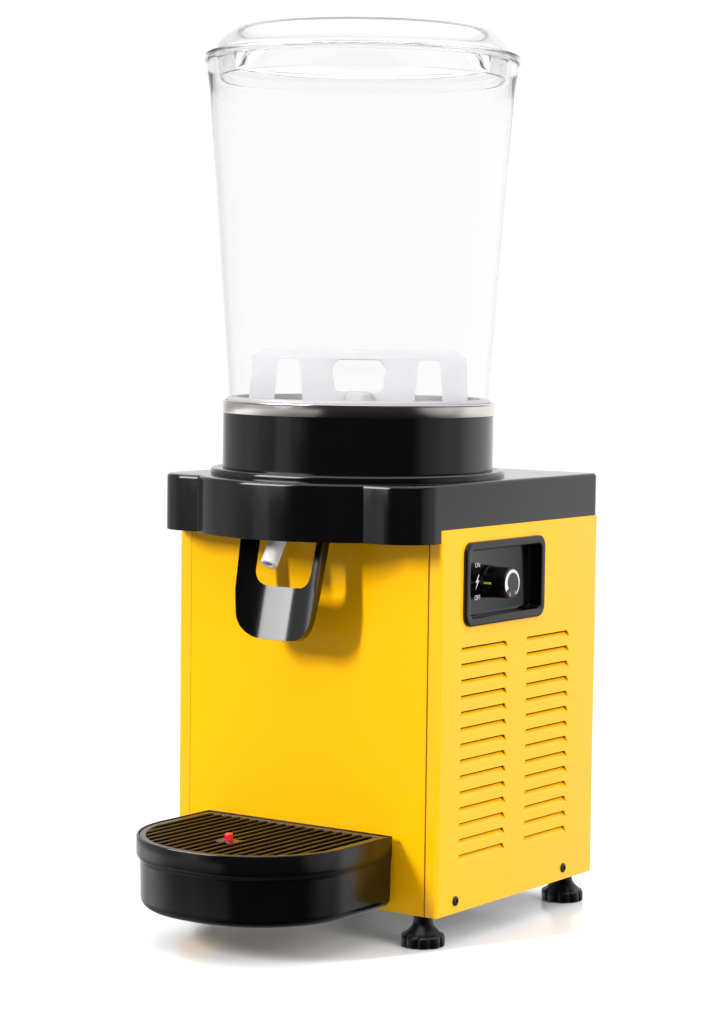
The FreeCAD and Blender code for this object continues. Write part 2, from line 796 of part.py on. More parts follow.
def make_agitator():
    """Flat moulded paddle with three windows, keyed on the shaft's hexagon."""
    low = band_top_z + agitator_foot_gap
    top = low + agitator_h
    outline = [(-agitator_half, low, 3), (agitator_half, low, 3),
               (agitator_half - 1.5, top, agitator_corner),
               (-agitator_half + 1.5, top, agitator_corner)]
    paddle = prism(filleted_outline(outline), -agitator_t / 2, agitator_t / 2)
    sill = low + agitator_base_bar
    head = top - agitator_top_bar
    half = agitator_mid_window / 2
    windows = [filleted_outline([(-half, sill, 3), (half, sill, 3), (half, head - 6, 3),
                                 (half - 6, head, 3), (-half + 6, head, 3), (-half, head - 6, 3)])]
    for side in (-1, 1):
        inner, outer = side * agitator_side_in, side * agitator_side_out
        windows.append(filleted_outline([(inner, low - 1, 0), (outer, low - 1, 0),
                                         (outer - side * 3, head + 1, 3),
                                         (inner + side * 3, head + 1, 3)]))
    paddle = paddle.cut([prism(wire, -agitator_t, agitator_t) for wire in windows])
    turn = math.radians(agitator_turn)
    along = Vector(math.cos(turn), math.sin(turn), 0)
    paddle = placed(paddle, along, Vector(0, 0, 1), along.cross(Vector(0, 0, 1)),
                    Vector(0, bowl_y, 0))
    hub = rod(0, bowl_y, low, agitator_hub_r, agitator_hub_h)
    hex_z = band_top_z + seal_flange_h + hex_rise
    socket = hexagon(hex_af + 2 * hex_play, 0, bowl_y, low - 1, hex_z + hex_l + hex_head)
    keep("agitator", join(paddle, hub).cut(socket))


def make_bowl_and_lid():
    """Clear bowl in its gasket, and the clear lid that drops over its rim."""
    foot = bowl_foot_z
    top = bowl_top_z
    wall = bowl_wall

    def radius_at(z):
        """Outer radius of the bowl's lower cone at a height."""
        return bowl_foot_r + (bowl_mid_r - bowl_foot_r) * (z - foot) / (bowl_mid_z - foot)

    bead_z = bowl_neck_z + bowl_bead_slope
    bowl = turned([(bowl_foot_r - wall, foot), (bowl_foot_r, foot), (bowl_mid_r, bowl_mid_z),
                   (bowl_neck_r, bowl_neck_z), (bowl_bead_r, bead_z), (bowl_bead_r, top),
                   (bowl_neck_r - wall, top), (bowl_neck_r - wall, bowl_neck_z),
                   (bowl_mid_r - wall, bowl_mid_z)], 0, bowl_y)
    keep("bowl", bowl)
    gasket = turned([(gasket_in_r, band_top_z), (gasket_r, band_top_z),
                     (gasket_r - 0.6, gasket_top_z), (radius_at(gasket_top_z), gasket_top_z),
                     (bowl_foot_r, foot), (bowl_foot_r - wall, foot),
                     (radius_at(gasket_top_z) - wall, gasket_top_z),
                     (gasket_in_r, gasket_top_z)], 0, bowl_y)
    keep("bowl_gasket", gasket)
    rim_top = lid_rim_z + lid_rim_edge
    inside_top = lid_top_z - lid_wall
    skirt_in = bowl_bead_r + lid_gap
    plug_in = lid_plug_r - lid_wall
    shoulder = (lid_flat_r, lid_top_z)
    inner_shoulder = (lid_flat_r - lid_wall, inside_top)
    base_in = lid_dome_r - lid_wall
    lid = turned([(0.0, lid_top_z), (0.0, inside_top), inner_shoulder, (base_in, rim_top - 1.0),
                  (plug_in, lid_rim_z - 2.0), (plug_in, lid_plug_z), (lid_plug_r, lid_plug_z),
                  (lid_plug_r, top), (skirt_in, top), (skirt_in, lid_skirt_z),
                  (lid_r, lid_skirt_z), (lid_r, lid_rim_z - 1.0), (lid_dome_r, rim_top),
                  mid_of((lid_dome_r, rim_top), shoulder, lid_shoulder_rise), shoulder],
                 0, bowl_y)
    keep("lid", lid)


def tube_line():
    """Foot of the straight upright run, the corner and the tip of the outlet tube's axis."""
    lean = math.radians(tube_lean)
    tip = Vector(0, tube_tip_y, tube_tip_z)
    axis_y = bowl_y - outlet_r
    corner = Vector(0, axis_y, tube_tip_z + (axis_y - tube_tip_y) / math.tan(lean))
    return Vector(0, axis_y, band_top_z - dish_t), corner, tip


def tube_axis_y(z):
    """Place of the leaning run of the tube at a height."""
    return tube_tip_y + (z - tube_tip_z) * math.tan(math.radians(tube_lean))


def make_tap():
    """Silicone outlet tube, the bracket that holds the lever's pin, and the pin and spring."""
    top, corner, tip = tube_line()
    lean = math.radians(tube_lean)
    reach = tube_bend_r * math.tan(lean / 2)
    upright_end = corner + Vector(0, 0, reach)
    along = (tip - corner).normalize()
    lean_start = corner + along * reach
    centre = upright_end + Vector(0, -tube_bend_r, 0)
    middle = centre + (corner - centre).normalize() * tube_bend_r
    path = Part.Wire([Part.makeLine(top, upright_end),
                      Part.Arc(upright_end, middle, lean_start).toShape(),
                      Part.makeLine(lean_start, tip)])

    def hose(radius):
        ring = Part.Wire(Part.makeCircle(radius, top, Vector(0, 0, -1)))
        return path.makePipeShell([ring], True, False)

    keep("outlet_tube", hose(tube_r).cut(hose(tube_bore_r)))
    ear_out = lever_half + bracket_side_gap + bracket_t
    ear_in = lever_half + bracket_side_gap
    plate = box(-bracket_half, bracket_half, -bracket_t, 0, bracket_z, panel_h + front_rise)
    ear_z = bracket_z + ear_rise
    anvil_back = tube_axis_y(ear_z) - tube_r / math.cos(lean) - pinch_gap
    anvil_front = anvil_back - anvil_t
    ears = [box(side_low, side_low + bracket_t, anvil_front - ear_lap, -bracket_t, ear_z,
                panel_h + front_rise) for side_low in (-ear_out, ear_in)]
    anvil = box(-ear_out, ear_out, anvil_front, anvil_back, ear_z, ear_z + anvil_h)
    bracket = join(plate, *ears, anvil)
    bracket = bracket.cut(rod(-ear_out - 1, pin_y, pin_z, pin_r + pin_run, 2 * ear_out + 2,
                              (1, 0, 0)))
    keep("tap_bracket", bracket)
    shank = rod(-ear_out - pin_end, pin_y, pin_z, pin_r, 2 * (ear_out + pin_end), (1, 0, 0))
    heads = [rod(side * (ear_out + pin_head_gap), pin_y, pin_z, pin_head_r, pin_head_l,
                 (side, 0, 0)) for side in (-1, 1)]
    keep("lever_pin", join(shank, *heads))
    sleeve = rod(spring_x, pin_y, pin_z, spring_r, spring_l, (1, 0, 0)).cut(
        rod(spring_x - 1, pin_y, pin_z, spring_in_r, spring_l + 2, (1, 0, 0)))
    up_leg = rod(spring_x + spring_l - spring_leg_r, pin_y + spring_r - spring_leg_r,
                 pin_z, spring_leg_r, spring_leg_l)
    keep("lever_spring", join(sleeve, up_leg))


def lever_depth_at(z):
    """Front face of the lever at its side edges, for a height."""
    return lever_front_y - (lever_ref_z - z) * math.tan(math.radians(lever_tilt))


def hollow_at(x):
    """How far the lever's front face lies behind its side edges, at a distance from the middle."""
    return (math.sqrt(lever_curve_r ** 2 - x ** 2)
            - math.sqrt(lever_curve_r ** 2 - lever_half ** 2))


def make_lever():
    """Curved push lever: a plate hollowed towards the cup, with a window and two pivot hubs."""
    tilt = math.radians(lever_tilt)
    up = Vector(0, math.sin(tilt), math.cos(tilt))
    out = Vector(0, -math.cos(tilt), math.sin(tilt))
    across = Vector(1, 0, 0)
    pivot = Vector(0, lever_depth_at(pin_z), pin_z)

    def down(z):
        """Distance along the plate from the pivot's height to another height."""
        return (z - pin_z) / math.cos(tilt)

    foot, waist, sill, ref = [down(z) for z in (lever_foot_z, lever_waist_z, lever_sill_z,
                                                lever_ref_z)]
    right = [(lever_foot_half, foot, lever_foot_r), (lever_waist_half, waist, lever_waist_r),
             (lever_half, ref, lever_ref_r), (lever_half, lever_hub_r, lever_top_r)]
    left = [(-x, y, radius) for x, y, radius in reversed(right)]
    outline = filleted_outline(left + right)
    window_half = lever_half - lever_leg_w
    sill_half = window_half - lever_sill_in
    window = filleted_outline([(-window_half, lever_hub_r + 1, 0), (-sill_half, sill, lever_sill_r),
                               (sill_half, sill, lever_sill_r), (window_half, lever_hub_r + 1, 0)])
    deep = lever_curve_r
    sheet = prism(outline, -deep, deep).cut(prism(window, -deep - 1, deep + 1))
    sheet = placed(sheet, across, up, out, pivot)
    rise = hollow_at(0)
    reach = 2 * lever_foot_drop
    axis_point = pivot + out * (lever_curve_r - rise) - up * reach
    hollow = Part.makeCylinder(lever_curve_r, 2 * reach, axis_point, up)
    shell = Part.makeCylinder(lever_curve_r + lever_t, 2 * reach, axis_point, up).cut(hollow)
    behind = placed(box(-deep, deep, -reach, reach, -deep, lever_t / 2), across, up, out, pivot)
    plate = shell.common(behind).common(sheet)
    hub_in = lever_half - lever_leg_w
    hubs = []
    for side in (-1, 1):
        x0 = hub_in if side > 0 else -lever_half
        hubs.append(rod(x0, pin_y, pin_z, lever_hub_r, lever_leg_w, (1, 0, 0)))
    lean = math.radians(tube_lean)
    yoke_front = tube_axis_y(yoke_z + yoke_h) + tube_r / math.cos(lean) + pinch_gap
    yoke_back = yoke_front + yoke_t
    plate_y = lever_depth_at(yoke_z) + hollow_at(window_half) + lever_t / 2
    reach_in = window_half + yoke_lap
    arms = [box(low_x, low_x + 2 * yoke_lap, min(yoke_front, plate_y), max(yoke_back, plate_y),
                yoke_z, yoke_z + yoke_h) for low_x in (-reach_in, reach_in - 2 * yoke_lap)]
    bar = box(-reach_in, reach_in, yoke_front, yoke_back, yoke_z, yoke_z + yoke_h)
    lever = join(plate, bar, *arms, *hubs)
    lever = lever.cut(rod(-lever_half - 1, pin_y, pin_z, pin_r + pin_run, 2 * lever_half + 2,
                          (1, 0, 0)))
    keep("lever", lever)


def tray_outline(inset_side, inset_front, back):
    """Plan of the drip tray, a D with straight sides, inset from its rim."""
    half = tray_half - inset_side
    front = -(tray_front - inset_front)
    radius = tray_corner_r - (inset_side + inset_front) / 2
    corner = Vector(half, front, 0)
    radius = min(radius, back - front - 2, half - 2)
    turn = radius * (1 - math.sqrt(0.5))
    start = Vector(half, front + radius, 0)
    end = Vector(half - radius, front, 0)
    middle = Vector(corner.x - turn, corner.y + turn, 0)

    def flip(point):
        return Vector(-point.x, point.y, point.z)

    return Part.Wire([
        Part.makeLine(Vector(half, back, 0), start), Part.Arc(start, middle, end).toShape(),
        Part.makeLine(end, flip(end)), Part.Arc(flip(end), flip(middle), flip(start)).toShape(),
        Part.makeLine(flip(start), Vector(-half, back, 0)),
        Part.makeLine(Vector(-half, back, 0), Vector(half, back, 0))])


def tray_section(inset_side, inset_front, z, back):
    wire = tray_outline(inset_side, inset_front, back)
    wire.translate(Vector(0, 0, z))
    return wire


def make_tray():
    """Drip tray: a rim band with a cove over a basin, and slots that slide on the tongues."""
    back = -tray_panel_gap
    band_z = tray_top_z - tray_band_h
    band = prism(tray_outline(0, 0, back), band_z, tray_top_z)
    step = tray_band_step
    side_step = tray_side_step
    floor_z = tray_bottom_z
    rings = []
    cove_steps = 4
    for i in range(cove_steps + 1):
        share = i / cove_steps
        inward = (1 - math.cos(math.pi * share)) / 2
        rings.append(tray_section(side_step * inward, step * inward,
                                  band_z - tray_cove_h * share, back))
    edge_steps = 4
    for i in range(edge_steps + 1):
        angle = math.pi / 2 * i / edge_steps
        inward = tray_edge_r * (1 - math.cos(angle))
        z = floor_z + tray_edge_r * (1 - math.sin(angle))
        rings.append(tray_section(side_step + tray_taper + inward, step + tray_taper + inward, z,
                                  back - inward * 0.3))
    basin = Part.makeLoft(rings, True, True)
    wall = tray_wall
    inner_top = tray_section(side_step + wall, step + wall, band_z, back - wall)
    inner_low = tray_section(side_step + tray_taper + tray_edge_r, step + tray_taper + tray_edge_r,
                             floor_z + wall, back - wall - 1)
    well = Part.makeLoft([inner_low, inner_top], True, True)
    ledge_z = tray_top_z - grille_sink - grille_t
    neck = prism(tray_outline(side_step + wall, step + wall, back - wall), band_z,
                 ledge_z - ledge_t)
    mouth = prism(tray_outline(wall + ledge_w, step + wall + ledge_w, back - wall - ledge_w),
                  ledge_z - ledge_t, ledge_z)
    seat = prism(tray_outline(wall * 0.6, wall * 0.6, back - wall * 0.6), ledge_z, tray_top_z + 1)
    tray = join(band, basin).cut([well, neck, mouth, seat])
    slots = []
    for side in (-1, 1):
        x0 = side * tongue_x - tongue_w / 2 - tongue_gap
        slots.append(box(x0, x0 + tongue_w + 2 * tongue_gap, back - wall - 3, back + 1,
                         tongue_z - tongue_gap, tongue_z + tongue_t + tongue_gap))
    tray = tray.cut(slots)
    keep("drip_tray", tray)
    hanger_front = back + hanger_gap
    plate = box(-hanger_half, hanger_half, hanger_front, 0.0, tongue_z - hanger_h / 2,
                tongue_z + hanger_h / 2)
    tongues = []
    for side in (-1, 1):
        x0 = side * tongue_x - tongue_w / 2
        tongues.append(box(x0, x0 + tongue_w, -tongue_l, hanger_front, tongue_z,
                           tongue_z + tongue_t))
    keep("tray_hanger", join(plate, *tongues))
    make_grille(back, ledge_z)
    make_float(floor_z + wall + float_lift)


def make_grille(back, low):
    """Lift-out grille of slats that run from front to back."""
    inset = tray_wall * 0.6 + grille_gap
    high = low + grille_t
    plate = prism(tray_outline(inset, inset, back - inset), low, high)
    frame = inset + grille_frame
    opening = prism(tray_outline(frame, frame, back - inset - grille_rear_bar), low - 1, high + 1)
    gaps = []
    first = -(slat_count / 2) * slat_pitch
    for i in range(slat_count):
        x0 = first + i * slat_pitch + slat_w / 2
        gaps.append(box(x0, x0 + slat_pitch - slat_w, -tray_front, 0, low - 2, high + 2))
    gap_faces = opening.common(Part.makeCompound(gaps))
    boss = rod(0, float_y, low - 2, float_r + float_gap + float_boss_w, grille_t + 4)
    grille = plate.cut(gap_faces.cut(boss))
    grille = grille.cut(rod(0, float_y, low - 1, float_r + float_gap, grille_t + 2))
    keep("tray_grille", grille)


def make_float(floor_z):
    """Red level indicator: a float in the tray with a stem that stands up through the grille."""
    stem = turned([(0.0, floor_z), (float_disc_r, floor_z), (float_disc_r, floor_z + float_disc_h),
                   (float_r, floor_z + float_disc_h + 2.0), (float_r, float_top_z - 1.2),
                   mid_of((float_r, float_top_z - 1.2), (float_r - 1.4, float_top_z), 0.4),
                   (float_r - 1.4, float_top_z), (0.0, float_top_z)], 0, float_y)
    keep("level_float", stem)


def make_control():
    """Bezel let into the right panel, the dial with its cap, and the thermostat behind it."""
    face_x = half_w + bezel_proud
    frame = bezel_prism(0, half_w, face_x)
    rim_edges = [edge for edge in frame.Edges if abs(edge.BoundBox.XMin - face_x) < 1e-6
                 and edge.BoundBox.XLength < 1e-6]
    frame = frame.makeChamfer(bezel_edge_r, rim_edges)
    floor_back = knob_floor_x - bezel_t
    cup = bezel_prism(bezel_lap + bezel_fit, floor_back, half_w)
    recess = bezel_prism(bezel_rim, knob_floor_x, face_x + 1)
    bezel = join(frame, cup).cut(recess)
    bezel = bezel.cut(rod(floor_back - 1, knob_y, knob_z, knob_shaft_r + 0.5, bezel_t + 2, (1, 0, 0)))
    keep("control_bezel", bezel)
    start = knob_floor_x + knob_gap
    knob = turned([(0.0, 0.0), (knob_r, 0.0), (knob_r, 3.0), (knob_face_r, knob_l - 1.0),
                   (knob_face_r - 1.0, knob_l), (knob_cap_r, knob_l),
                   (knob_cap_r, knob_l - knob_cap_t), (0.0, knob_l - knob_cap_t)])
    knob = knob.cut(rod(0, 0, -1, knob_shaft_r, knob_bore_depth + 1))
    cap = rod(0, 0, knob_l - knob_cap_t, knob_cap_r, knob_cap_t)
    shaft = rod(0, 0, -knob_gap - bezel_t - 4.0, knob_shaft_r,
                knob_bore_depth + knob_gap + bezel_t + 4.0)
    for name, shape in (("dial", knob), ("dial_cap", cap), ("dial_shaft", shaft)):
        keep(name, placed(shape, Vector(0, 1, 0), Vector(0, 0, 1), Vector(1, 0, 0),
                          Vector(start, knob_y, knob_z)))
    body = box(floor_back - thermostat_l, floor_back, knob_y - thermostat_w / 2,
               knob_y + thermostat_w / 2, knob_z - thermostat_w / 2, knob_z + thermostat_w / 2)
    body = body.cut(rod(floor_back - 5, knob_y, knob_z, knob_shaft_r + 0.05, 10, (1, 0, 0)))
    keep("thermostat", body)


def make_compressor():
    """Compressor pot on its plate and four rubber grommets."""
    plate_z = pot_z - pot_plate_t
    side = pot_z + pot_h - pot_dome
    pot = turned([(0.0, pot_z), (pot_r - 8, pot_z), (pot_r, pot_z + 8), (pot_r, side),
                  (pot_r * 0.8, side + pot_dome * 0.6), (pot_r * 0.4, pot_z + pot_h),
                  (0.0, pot_z + pot_h)], pot_x, pot_y)
    keep("compressor", pot)
    plate = box(pot_x - pot_plate_half, pot_x + pot_plate_half, pot_y - pot_plate_half + 6,
                pot_y + pot_plate_half - 6, plate_z, pot_z)
    spots = [(pot_x + sx * (pot_plate_half - grommet_r - 2),
              pot_y + sy * (pot_plate_half - grommet_r - 8)) for sx in (-1, 1) for sy in (-1, 1)]
    keep("compressor_plate", plate)
    keep("compressor_grommets", *[rod(x, y, pan_t, grommet_r, plate_z - pan_t)
                                  for x, y in spots])


def make_condenser():
    """Finned condenser at the rear with its fan, shroud, struts and filter drier."""
    front = condenser_front
    back = front + condenser_d
    low, high = condenser_z, condenser_z + condenser_h
    core = box(-condenser_half, condenser_half, front, back, low, high)
    grooves = []
    count = int((2 * condenser_half - fin_pitch) / fin_pitch)
    start = -(count - 1) / 2 * fin_pitch
    for i in range(count):
        x = start + i * fin_pitch
        for y0, y1 in ((front - 1, front + fin_depth), (back - fin_depth, back + 1)):
            grooves.append(box(x - fin_groove / 2, x + fin_groove / 2, y0, y1, low + 3, high - 3))
    keep("condenser", core.cut(grooves))
    foot_w = 16.0
    feet = [box(side * (condenser_half - foot_w / 2) - foot_w / 2,
                side * (condenser_half - foot_w / 2) + foot_w / 2, front, back, pan_t, low)
            for side in (-1, 1)]
    keep("condenser_feet", *feet)
    shroud_front = front - shroud_d
    ring_r = fan_r + fan_tip_gap
    plate = box(-condenser_half, condenser_half, front - shroud_t, front, low, high)
    plate = plate.cut(rod(fan_x, front - shroud_t - 1, fan_z, ring_r, shroud_t + 2, (0, 1, 0)))
    ring = rod(fan_x, shroud_front, fan_z, ring_r + shroud_t, shroud_d - shroud_t, (0, 1, 0)).cut(
        rod(fan_x, shroud_front - 1, fan_z, ring_r, shroud_d + 1, (0, 1, 0)))
    hub_front = fan_hub_back - fan_hub_l
    motor_back = fan_motor_back
    strut_y = motor_back - 3.0
    struts = []
    for side in (-1, 1):
        reach = ring_r + shroud_t
        struts.append(box(fan_x + (fan_motor_r if side > 0 else -reach),
                          fan_x + (reach if side > 0 else -fan_motor_r),
                          strut_y, strut_y + 3.0, fan_z - strut_w / 2, fan_z + strut_w / 2))
        edge = side * (reach - 1.5)
        struts.append(box(fan_x + edge - 1.5, fan_x + edge + 1.5, strut_y, shroud_front + 1,
                          fan_z - strut_w / 2, fan_z + strut_w / 2))
    keep("fan_shroud", join(plate, ring, *struts))
    motor = rod(fan_x, motor_back - fan_motor_l, fan_z, fan_motor_r, fan_motor_l, (0, 1, 0))
    motor = motor.cut(rod(fan_x, motor_back - fan_bore_depth, fan_z, fan_shaft_r + shaft_run,
                          fan_bore_depth + 1, (0, 1, 0)))
    keep("fan_motor", motor)
    hub = rod(fan_x, hub_front, fan_z, fan_hub_r, fan_hub_l, (0, 1, 0))
    blade_l = fan_r - fan_hub_r + 2
    blades = []
    for i in range(fan_blades):
        blade = box(fan_hub_r - 2, fan_hub_r - 2 + blade_l, -0.8, 0.8, -17, 17)
        blade.rotate(Vector(0, 0, 0), Vector(1, 0, 0), 90 - fan_pitch_deg)
        blade = blade.common(rod(0, -fan_hub_l / 2, 0, fan_r, fan_hub_l, (0, 1, 0)))
        blade.rotate(Vector(0, 0, 0), Vector(0, 1, 0), 360.0 * i / fan_blades)
        blade.translate(Vector(fan_x, hub_front + fan_hub_l / 2, fan_z))
        blades.append(blade)
    fan = join(hub, *blades)
    fan = fan.cut(rod(fan_x, hub_front - 1, fan_z, fan_shaft_r, fan_hub_l + 2, (0, 1, 0)))
    keep("fan_blades", fan)
    keep("fan_shaft", rod(fan_x, motor_back - fan_shaft_in, fan_z, fan_shaft_r,
                          fan_shaft_in + fan_motor_gap + fan_hub_l, (0, 1, 0)))
    drier = turned([(0.0, 0.0), (pipe_r, 0.0), (drier_r, drier_cone), (drier_r, drier_l - drier_cone),
                    (pipe_r, drier_l), (0.0, drier_l)], condenser_half - drier_r,
                   front - shroud_t - drier_r - drier_gap, low + drier_cone)
    keep("filter_drier", drier)


for make in (make_base_pan, make_feet, make_side_panels, make_front_and_rear_panels,
             make_top_cover, make_bowl_base, make_drive, make_agitator, make_bowl_and_lid,
             make_tap, make_lever, make_tray, make_control, make_compressor, make_condenser):
    make()

os.makedirs("parts", exist_ok=True)
for name, shape in nodes.items():
    shape = shape.copy()
    shape.translate(shift)
    shape.exportStep("parts/" + name + ".step")
    print(name, len(shape.Solids), "solids", "valid" if shape.isValid() else "INVALID",
          round(shape.Volume), "mm3")
print("origin shift", tuple(shift))
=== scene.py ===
"""Cold drink dispenser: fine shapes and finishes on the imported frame, and a plain pale stage."""

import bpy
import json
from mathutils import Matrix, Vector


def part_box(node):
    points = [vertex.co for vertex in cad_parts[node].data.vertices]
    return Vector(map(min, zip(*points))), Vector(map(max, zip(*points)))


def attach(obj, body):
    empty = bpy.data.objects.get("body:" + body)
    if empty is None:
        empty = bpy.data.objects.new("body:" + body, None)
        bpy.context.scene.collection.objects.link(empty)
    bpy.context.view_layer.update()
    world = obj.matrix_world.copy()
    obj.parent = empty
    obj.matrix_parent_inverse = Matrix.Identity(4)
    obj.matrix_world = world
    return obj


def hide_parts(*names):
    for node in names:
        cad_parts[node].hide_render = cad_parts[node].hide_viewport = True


bl_info = {
    "name": "Cold drink dispenser",
    "version": (1, 0, 0),
    "blender": (4, 5, 0),
    "location": "3D View > Sidebar > Dispenser",
    "description": "Counter-top cold drink dispenser with a clear bowl, built piece by piece",
    "category": "Add Mesh",
}

import json
import math

import bmesh
import bpy
from bpy.props import FloatProperty, FloatVectorProperty, IntProperty, PointerProperty
from mathutils import Matrix, Vector

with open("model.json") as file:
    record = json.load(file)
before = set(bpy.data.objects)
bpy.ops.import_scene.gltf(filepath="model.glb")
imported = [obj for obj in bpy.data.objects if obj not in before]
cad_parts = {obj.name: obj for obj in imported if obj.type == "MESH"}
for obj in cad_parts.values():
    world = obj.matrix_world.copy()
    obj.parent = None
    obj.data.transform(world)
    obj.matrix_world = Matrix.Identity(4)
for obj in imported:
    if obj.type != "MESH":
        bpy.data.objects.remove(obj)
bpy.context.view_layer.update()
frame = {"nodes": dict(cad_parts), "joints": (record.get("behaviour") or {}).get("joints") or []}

# HOME is the middle of the front panel's lower edge. All shapes are drawn from there.
panel_low, panel_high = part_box("front_panel")
HOME = Vector(((panel_low.x + panel_high.x) / 2, panel_low.y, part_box("right_side_panel")[0].z))
ORIGIN = Vector((0, 0, 0))
X, Y, Z = Vector((1, 0, 0)), Vector((0, 1, 0)), Vector((0, 0, 1))


def at(x, y, z):
    """World place of a point that is given from HOME, in metres."""
    return HOME + Vector((x, y, z))


def node_box(node):
    """Lowest and highest corner of a CAD node, from HOME."""
    low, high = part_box(node)
    return low - HOME, high - HOME


front_high, side_high, lid_high = [node_box(node)[1] for node in (
    "front_panel", "right_side_panel", "lid")]
cover_low, cover_high = node_box("top_cover")
drum_low, drum_high = node_box("evaporator_housing")
bowl_low, bowl_high = node_box("bowl")
dish_low, dish_high = node_box("evaporator_dish")
gasket_low, gasket_high = node_box("bowl_gasket")
tray_low, tray_high = node_box("drip_tray")
tube_low, tube_high = node_box("outlet_tube")
BOWL_Y = (bowl_low.y + bowl_high.y) / 2

PAST = 0.01  # how far a cutter reaches past the shape that it cuts
BEZEL_LAP = 0.0032  # how far the bezel's rim laps over its hole in the right panel
LOUVRE_COLUMNS = ((0.0270, 0.0965), (0.1218, 0.1900))  # their near and far ends, in depth
CAMERA_TURN = math.radians(35.01)  # the photo's angle, from straight ahead


# Settings that a user may change, and what makes them

def length(name, description, metres):
    """Setting in metres."""
    return FloatProperty(name=name, description=description, default=metres, min=0.0,
                         unit="LENGTH", precision=5)


def share(name, description, value):
    """Setting between 0 and 1."""
    return FloatProperty(name=name, description=description, default=value, min=0.0, max=1.0,
                         subtype="FACTOR")


def colour(name, description, value):
    """Setting for a linear colour."""
    return FloatVectorProperty(name=name, description=description, default=value, size=3,
                               min=0.0, max=1.0, subtype="COLOR")


def angle(name, description, degrees):
    """Setting for an angle, shown in degrees."""
    return FloatProperty(name=name, description=description, default=math.radians(degrees),
                         subtype="ANGLE")


def power(name, description, watts):
    """Setting for a lamp's power."""
    return FloatProperty(name=name, description=description, default=watts, min=0.0,
                         subtype="POWER", unit="POWER")


def whole(name, description, count, low, high):
    """Setting for a whole number."""
    return IntProperty(name=name, description=description, default=count, min=low, max=high)


class CabinetSettings(bpy.types.PropertyGroup):
    paint: colour("Paint", "Powder coat on the panels", (0.95, 0.475, 0.0025))
    paint_roughness: share("Paint roughness", "Roughness of the powder coat", 0.18)
    paint_sheen: share("Paint sheen", "How much the sides and the rear mirror", 0.45)
    front_sheen: share("Front sheen", "How much the front panel mirrors", 0.12)
    orange_peel: length("Orange peel", "Height of the coat's fine waves", 0.00003)
    black: colour("Black", "Moulded black plastic", (0.0020, 0.0018, 0.0022))
    wing: length("Wing", "Reach of the cover in front of the panels", 0.0368)
    corner: length("Corner radius", "Rounding of the cover's front corners", 0.030)
    bulge_ahead: length("Bulge ahead", "How far the bulge's centre lies before the bowl's",
                        0.0158)
    rear_corner: length("Rear corner radius", "Rounding of the cover's rear corners", 0.005)
    crease: length("Crease radius", "Hollow where the wing meets the round bulge", 0.004)
    edge: length("Top edge radius", "Rounding of the cover's top edge", 0.0028)
    wall: length("Cover wall", "Thickness of the moulded cover", 0.003)
    side_skirt: length("Side skirt", "Height of the cover over the side panels", 0.0343)
    screw_head: length("Screw head", "Radius of the panel screws", 0.0038)
    sheet: length("Sheet", "Thickness of the side panels' sheet", 0.0012)
    bend: length("Bend radius", "Rounding of the side panels' folds", 0.0022)
    seam: length("Seam", "Gap between the front panel and the right panel's fold", 0.0014)
    far_seam: length("Left seam", "Gap between the front panel and the left panel's fold", 0.0004)
    rear_fold: length("Rear fold", "Width of the side panels' rear folds", 0.014)
    step: length("Step", "Gap between the cover's deep front skirt and the panels", 0.0005)
    lip: length("Lip", "Width of the lip under the cover", 0.012)
    rows: whole("Louvres", "Louvres in each column", 14, 1, 20)
    pitch: length("Louvre pitch", "Distance between louvres", 0.01224)
    first_slit: length("First slit", "Height of the lowest louvre's slit", 0.0433)
    louvre_tall: length("Louvre height", "Height of a louvre's opening", 0.0053)
    louvre_deep: length("Louvre depth", "How far a louvre's tongue slopes in", 0.003)
    slit: length("Slit", "Open gap over a louvre's tongue", 0.0017)
    louvre_slope: length("Louvre slope", "Lean of a louvre's ends", 0.0033)


class BowlSettings(bpy.types.PropertyGroup):
    wall: length("Bowl wall", "Thickness of the bowl", 0.0026)
    foot_radius: length("Foot radius", "Outer radius where the bowl stands", 0.1022)
    middle_radius: length("Middle radius", "Outer radius at the middle height", 0.1144)
    neck_radius: length("Neck radius", "Outer radius under the bead", 0.1196)
    bead_radius: length("Bead radius", "Outer radius of the bead", 0.1218)
    middle_height: length("Middle height", "Height at which the flare to the neck starts", 0.175)
    neck_height: length("Neck height", "Height of the neck under the bead", 0.244)
    lid_wall: length("Lid wall", "Thickness of the lid", 0.0022)
    lid_shoulder: length("Lid shoulder", "Radius of the crowned top of the dome", 0.098)
    crown: length("Crown", "How much higher the lid's middle is than its shoulder", 0.0021)
    lid_foot: length("Dome foot", "Radius where the dome meets the rim", 0.1154)
    plug_radius: length("Plug radius", "Outer radius of the lid's plug in the neck", 0.1125)
    clear_tint: colour("Clear tint", "Tint of the clear plastic", (0.972, 0.972, 0.975))
    well_radius: length("Well radius", "Radius of the hole in the cover", 0.104)
    drum_radius: length("Drum radius", "Outer radius of the black housing", 0.107)
    collar_radius: length("Collar radius", "Outer radius of the collar", 0.1165)
    collar_height: length("Collar height", "Height of the collar on the cover", 0.0052)
    band_lift: length("Band lift", "Height of the drum's shoulder inside the steel band", 0.0032)
    band_height: length("Band height", "Height of the steel band", 0.0098)
    sides: whole("Steps round", "Faces around the bowl", 160, 32, 360)


class PaddleSettings(bpy.types.PropertyGroup):
    half_width: length("Half width", "Half of the paddle's width", 0.0866)
    height: length("Height", "Height of the paddle", 0.0415)
    thickness: length("Thickness", "Thickness of the blade", 0.004)
    turn: angle("Turn", "Turn of the blade about the shaft", 35)
    plastic: colour("Plastic", "White plastic of the paddle", (0.53, 0.533, 0.548))


